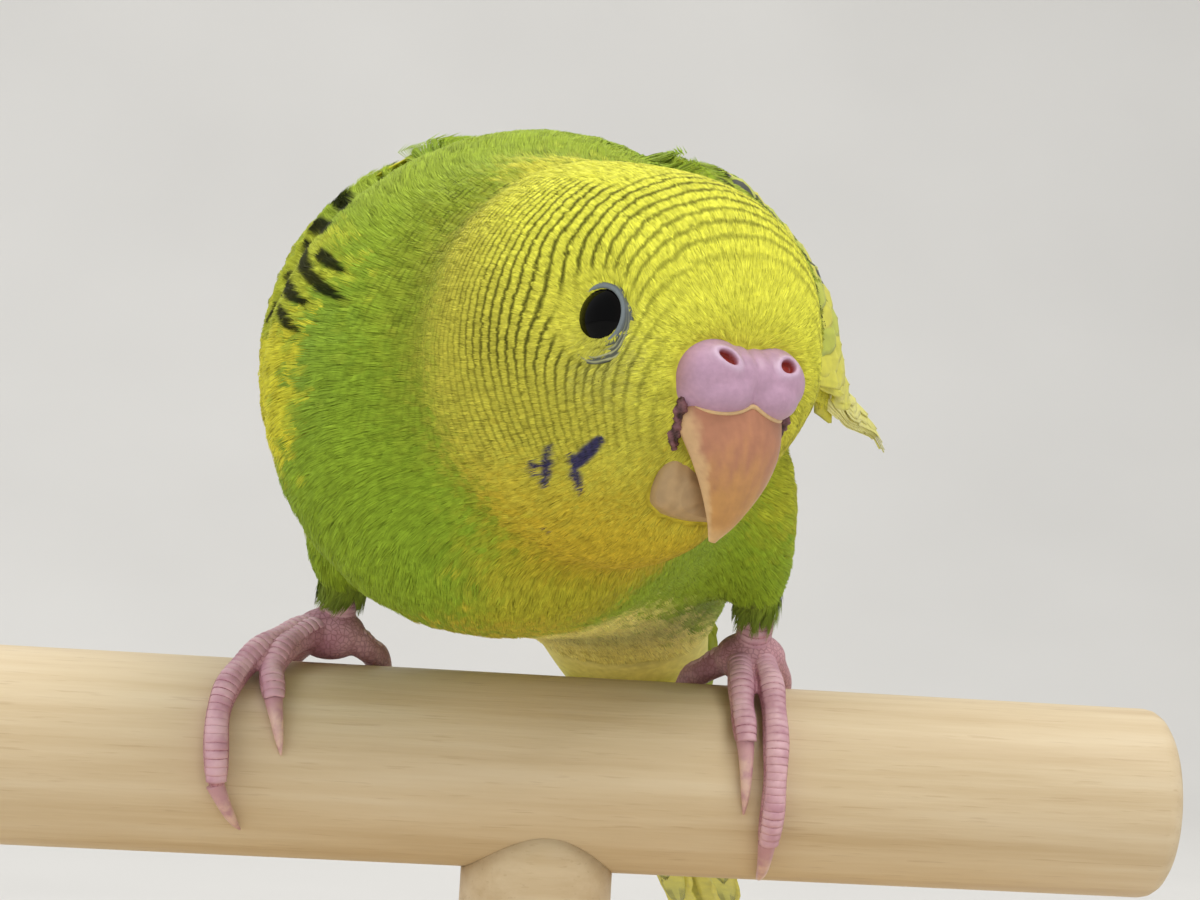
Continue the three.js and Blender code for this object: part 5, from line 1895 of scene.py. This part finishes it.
SCUTE_SPACING = 0.58
SCUTE_OVERLAP = 1.1
SCUTE_HALF_ANGLE = 64.0
CLAW_RADII = (0.74, 0.56, 0.36, 0.08)
CLAW_LIFTS = (0.0, 0.16, 0.14, 0.02)

FOOT_PINK = linear("cf9fa6")
FOOT_MAUVE = linear("b27c88")
FOOT_CREASE = linear("87505a")
SCUTE_PALE = linear("dcb2ba")
SCUTE_DEEP = linear("c08e9c")
CLAW_PALE = linear("e0bdae")
CLAW_ROSY = linear("c4949a")
# Painted shade for the lower ends of the thigh cuffs
CUFF_SHADE_GREEN = linear("6f7f34")


def over_perch(places, radii):
    """Points (place along, degrees, lift) over the perch, held off it by the radii."""
    places = np.asarray(places, float)
    reach = PERCH_RADIUS + TOE_CLEARANCE + radii + places[:, 2]
    angle = np.radians(places[:, 1])
    return np.stack([places[:, 0], -reach * np.sin(angle), reach * np.cos(angle)], 1)


def toe_line(points, count=60):
    """The middle line of a toe, the way up off the perch, and its radii."""
    places = curve_through(points[:-1], count)
    t = np.linspace(0, 1, count)
    joints = len(points) - 2
    swell = 1 + 0.05 * np.cos(2 * np.pi * joints * (t + 0.5 / joints))
    radii = (TOE_RADIUS + (TOE_TIP_RADIUS - TOE_RADIUS) * t) * swell
    centres = over_perch(places, radii)
    up = unit(centres * [0, 1, 1])
    return centres, up, radii


def shank_line(side, count=24):
    centres = curve_through(SHANKS[side], count)
    radii = np.full(count, SHANK_RADIUS) * np.linspace(1.04, 0.98, count)
    return centres, np.tile([0.0, -1.0, 0.0], (count, 1)), radii


def foot_finish():
    """Pink scaly skin: small cells with darker creases."""
    made = Finish("scaly foot skin", 0.5, 0.35)
    cells = made.node("ShaderNodeTexVoronoi", {"Scale": 2300.0, "Vector": made.coordinates()},
                      feature="DISTANCE_TO_EDGE")
    edge = made.ramp(cells["Distance"], (0.0, 0.0), (0.16, 1.0))
    patch = made.noise(330.0, 3)
    skin_colour = made.ramp(patch, (0.35, FOOT_MAUVE), (0.62, FOOT_PINK))
    made.paint(made.blend(edge, made.blend(0.5, skin_colour, FOOT_CREASE), skin_colour))
    made.rough(patch, 0.42, 0.6)
    made.bump(edge, 0.5, 0.00008)
    return made.material


def scute_finish():
    made = Finish("toe scutes", 0.42, 0.4)
    patch = made.noise(480.0, 3)
    fine = made.noise(4200.0, 2)
    made.paint(made.ramp(patch, (0.36, SCUTE_DEEP), (0.62, SCUTE_PALE)))
    made.rough(fine, 0.36, 0.52)
    made.bump(fine, 0.2, 0.00005)
    return made.material


def claw_finish():
    made = Finish("pale claw horn", 0.34, 0.4)
    streak = made.noise(900.0, 3)
    colour = made.ramp(streak, (0.35, CLAW_ROSY), (0.6, CLAW_PALE))
    made.paint(made.blend(made.attribute("root"), colour, CLAW_ROSY))
    made.rough(streak, 0.28, 0.42)
    return made.material


FOOT_SKIN = foot_finish()
SCUTES = scute_finish()
CLAW_HORN = claw_finish()


def foot_form(side):
    """The whole foot's skin in one: shank, pad and toes."""
    centres, _, radii = shank_line(side)
    palm = np.array(SHANKS[side][2]) - [0, 0, PALM_DROP]
    parts = [ring_mesh(sweep(centres, radii, 28)), ellipsoid(palm, PALM_REACHES, 28, 16)]
    for points in TOES[side].values():
        centres, _, radii = toe_line(points)
        t = np.linspace(0, 1, len(radii))
        rounded = radii * np.sqrt(np.clip(1 - np.maximum(t - 0.94, 0) ** 2 / 0.0045, 0.05, 1))
        parts.append(ring_mesh(sweep(centres, rounded, 24)))
    points, faces = remeshed(*joined(parts), FOOT_VOXEL)
    return smoothed(points, faces, 5), faces


def scute_shape():
    """One scute, for a toe of radius 1 along X with its upper side at Z: an arched plate."""
    around = np.radians(np.linspace(-SCUTE_HALF_ANGLE, SCUTE_HALF_ANGLE, 15))
    along = np.linspace(-0.5, 0.5, 7)
    rows = []
    for s in along:
        swell = (0.55 + 0.45 * (s + 0.5)) * np.cos(np.pi * s) ** 0.6 if abs(s) < 0.5 else 0.0
        side = np.cos(np.radians(90) * around / np.radians(SCUTE_HALF_ANGLE)) ** 0.5
        radius = 0.985 + 0.095 * swell * side
        bow = s + 0.16 * (np.cos(around) - 1)
        rows.append(np.stack([bow, radius * np.sin(around), radius * np.cos(around)], 1))
    rows = np.array(rows)
    below = rows * [1.0, 0.86, 0.86]
    ring = np.concatenate([rows, below[:, ::-1]], 1)
    return ring_mesh(ring)


def scute_tree():
    """Plates along each line, at an even spacing, sized by the line's girth."""
    inputs = (("Line", "Geometry"), ("Plate", "Object"), ("Spacing", "Float"), ("Overlap", "Float"),
              ("Surface", "Material"), ("Seed", "Int"))
    tree, given, result = group("scutes along toes", [(label, kind, None) for label, kind in inputs],
                                [("Plates", "Geometry")], "GeometryNodeTree")

    def node(kind, sockets=None, **settings):
        return add_node(tree, "GeometryNode" + kind, sockets, **settings)

    curve = node("MeshToCurve", {"Mesh": given["Line"]})["Curve"]
    even_curve = node("ResampleCurve", {"Curve": curve, "Length": given["Spacing"]}, mode="LENGTH")["Curve"]
    up = node("InputNamedAttribute", {"Name": "up"}, data_type="FLOAT_VECTOR")["Attribute"]
    girth = node("InputNamedAttribute", {"Name": "girth"}, data_type="FLOAT")["Attribute"]
    turn = add_node(tree, "FunctionNodeAxesToRotation", primary_axis="X", secondary_axis="Z",
                    sockets={"Primary Axis": node("InputTangent")["Tangent"], "Secondary Axis": up})
    plate = node("ObjectInfo", {"Object": given["Plate"]})["Geometry"]
    varied = add_node(tree, "FunctionNodeRandomValue", data_type="FLOAT",
                      sockets={"Min": 0.9, "Max": 1.12, "Seed": given["Seed"]})[1]
    wide = add_maths(tree, "MULTIPLY", given["Spacing"], given["Overlap"])
    size = add_node(tree, "ShaderNodeCombineXYZ",
                    {"X": add_maths(tree, "MULTIPLY", wide, varied), "Y": girth, "Z": girth})["Vector"]
    placed = node("InstanceOnPoints", {"Points": even_curve, "Instance": plate,
                                       "Rotation": turn["Rotation"], "Scale": size})["Instances"]
    real = node("RealizeInstances", {"Geometry": placed})["Geometry"]
    painted = node("SetMaterial", {"Geometry": real, "Material": given["Surface"]})["Geometry"]
    feed(tree, result["Plates"], painted)
    return tree


def line_object(lines):
    """A wire mesh of separate lines with the way up and the girth at each point, in metres."""
    centres, ups, girths = (np.concatenate(part) for part in zip(*lines))
    edges, start = [], 0
    for line, _, _ in lines:
        edges += [(start + i, start + i + 1) for i in range(len(line) - 1)]
        start += len(line)
    mesh = bpy.data.meshes.new("toe lines")
    mesh.from_pydata(in_metres(centres).tolist(), edges, [])
    add_layer(mesh, "up", "FLOAT_VECTOR", "vector", ups)
    add_layer(mesh, "girth", "FLOAT", "value", girths * 0.001)
    return in_scene("toe lines", mesh)


def build_scutes(side, tree, plate):
    lines = [shank_line(side)]
    for points in TOES[side].values():
        centres, up, radii = toe_line(points)
        lines.append((centres[6:-2], up[6:-2], radii[6:-2]))
    wire = line_object(lines)
    modifier = wire.modifiers.new("scutes", "NODES")
    modifier.node_group = tree
    sockets = {item.name: item.identifier for item in tree.interface.items_tree if item.in_out == "INPUT"}
    settings = {"Plate": plate, "Spacing": SCUTE_SPACING * 0.001, "Overlap": SCUTE_OVERLAP,
                "Surface": SCUTES, "Seed": 4}
    for label, value in settings.items():
        modifier[sockets[label]] = value
    mesh = evaluated(wire)
    mesh.materials.clear()
    mesh.materials.append(SCUTES)
    bpy.data.objects.remove(wire)
    declare(in_scene(f"foot_{side}_scutes", mesh), "foot_skin")


def claw_form(points):
    """A claw: it leaves the end of its toe, arches a little and comes down to a point."""
    last, tip = np.array(points[-2], float), np.array(points[-1], float)
    places = [last + (tip - last) * share for share in (-0.05, 0.3, 0.68, 1.0)]
    for place, lift in zip(places, CLAW_LIFTS):
        place[2] = lift
    steps = curve_through([(*place, radius) for place, radius in zip(places, CLAW_RADII)], 36)
    return ring_mesh(sweep(over_perch(steps[:, :3], steps[:, 3]), steps[:, 3], 24))


THIGH_PLUME = tuft_form(10, fan=0.5)


def build_cuff(side, foot):
    """Feathers of the lower thigh that hang over the top of the shank."""
    draws = np.random.default_rng(61)
    ground = Ground(*joined([(skin_points, skin_faces), foot]))
    top, middle = np.array(SHANKS[side][0]), np.array(SHANKS[side][1])
    end = np.array(THIGHS[side][3][:3])

    def spacing(places):
        return np.where(np.linalg.norm(places - end, axis=1) < 6.0, 0.3, 3.0)

    roots = scattered(SKIN_GROUND, spacing, draws, 30000)
    roots = roots[np.linalg.norm(roots - end, axis=1) < 4.6]
    count = len(roots)
    way = unit(unit(middle - top) + 0.12 * draws.normal(size=(count, 3)))
    sizes = drawn_sizes(draws, count, (2.6, 4.4), (0.7, 1.0), (0.25, 0.6), (0.1, 0.7, 1.0, 1.1))
    # Darker towards the cuff's lower end: painted shade under the belly.
    tints = mix(FLANK_GREEN, CUFF_SHADE_GREEN, ramp(end[2] + 3.5 - roots[:, 2], 0.0, 4.0))
    coat_piece(f"thigh_{side}_cuff", roots, way, sizes, THIGH_PLUME, draws, tints, ground)


def build_feet():
    tree = scute_tree()
    shape_points, shape_faces = scute_shape()
    plate = new_mesh("plate", shape_points * 1000, shape_faces, SCUTES)
    plate.data.transform(Matrix.Translation((0, 0, -PERCH_HEIGHT * 0.001)))
    for side in ("left", "right"):
        points, faces = foot_form(side)
        declare(new_mesh(f"foot_{side}_skin", points, faces, FOOT_SKIN), "foot_skin", f"foot_{side}")
        build_cuff(side, (points, faces))
        build_scutes(side, tree, plate)
        for number, toe in TOES[side].items():
            points, faces = claw_form(toe)
            root = 1 - ramp(np.append(np.repeat(np.linspace(0, 1, 36), 24), [0, 1]), 0.05, 0.4)
            declare(new_mesh(f"claw_{side}_{number}_horn", points, faces, CLAW_HORN, values={"root": root}),
                    "claw", f"claw_{side}_{number}")
    bpy.data.objects.remove(plate)


build_feet()


# Stage: camera, lights and floor

CAMERA_PLACE = (-28.42, -231.67, 9.03 + PERCH_HEIGHT)
CAMERA_TURN = 7.8
CAMERA_PITCH = 4.4
CAMERA_ROLL = 3.25
CAMERA_LENS = 84.0


def set_up(side, up, back, place):
    """The matrix of a camera or light from its axes and its place in metres."""
    matrix = np.identity(4)
    matrix[:3] = np.stack([side, up, back, place], 1)
    return Matrix(matrix.tolist())


def build_camera():
    turn, pitch, roll = np.radians((CAMERA_TURN, CAMERA_PITCH, CAMERA_ROLL))
    forward = np.array([np.sin(turn) * np.cos(pitch), np.cos(turn) * np.cos(pitch), np.sin(pitch)])
    level = np.array([np.cos(turn), -np.sin(turn), 0])
    upright = np.cross(level, forward)
    right = np.cos(roll) * level + np.sin(roll) * upright
    up = np.cross(right, forward)
    data = bpy.data.cameras.new("camera")
    data.sensor_width = 36
    data.lens = CAMERA_LENS
    data.clip_start = 0.01
    camera = in_scene("camera", data)
    camera.matrix_world = set_up(right, up, -forward, np.array(CAMERA_PLACE) * 0.001)
    bpy.context.scene.camera = camera


def area_light(name, place, target, size, power, colour=(1, 1, 1), glossy=True):
    data = bpy.data.lights.new(name, "AREA")
    data.shape = "DISK"
    data.size = size
    data.energy = power
    data.color = colour
    back = unit(np.subtract(place, target).astype(float))
    side = unit(np.cross([0, 0, 1], back))
    lamp = in_scene(name, data)
    lamp.matrix_world = set_up(side, np.cross(back, side), back, place)
    lamp.visible_glossy = glossy


def build_floor():
    made = Finish("pale floor", 0.9, 0.1)
    made.paint(made.ramp(made.noise(6, 2), (0.3, linear("d3d1cd")), (0.7, linear("d8d6d2"))))
    profile = [(-1.6, 0.0), (-0.6, 0.0), (0.3, 0.0)]
    profile += [(0.9 + 0.6 * np.sin(a), 0.6 - 0.6 * np.cos(a)) for a in np.linspace(0, np.pi / 2, 12)]
    profile += [(1.5, 2.4)]
    points = np.array([(x, y, z - 0.00005) for y, z in profile for x in (-2.6, -0.9, 0.9, 2.6)])
    faces = grid_faces(len(profile), 4)
    floor = new_mesh("studio_floor", points * 1000 - [0, 0, PERCH_HEIGHT], faces, made.material)


def build_light():
    area_light("key", (0.28, -0.5, 1.05), (0, 0, 0.07), 0.7, 6.2, (1, 0.985, 0.96))
    area_light("fill", (-0.9, -0.7, 0.35), (0, 0, 0.06), 1.0, 3.3, (0.96, 0.98, 1), glossy=False)
    area_light("front", (0.2, -1.0, -0.05), (0, 0, 0.06), 0.8, 2.2, glossy=False)
    area_light("back", (-0.1, 0.8, 0.9), (0, 0, 0.06), 0.8, 1.2)
    area_light("catch", (0.34, -0.27, 0.56), (0, -0.04, 0.075), 0.03, 0.12)
    area_light("wash", (0, 0.45, 1.5), (0, 1.5, 0.45), 1.2, 9)
    world = bpy.data.worlds.new("studio")
    world.use_nodes = True
    background = world.node_tree.nodes["Background"]
    background.inputs["Color"].default_value = (0.93, 0.94, 0.95, 1)
    background.inputs["Strength"].default_value = 0.56
    bpy.context.scene.world = world
    bpy.context.scene.view_settings.view_transform = "Standard"


build_camera()
build_floor()
build_light()
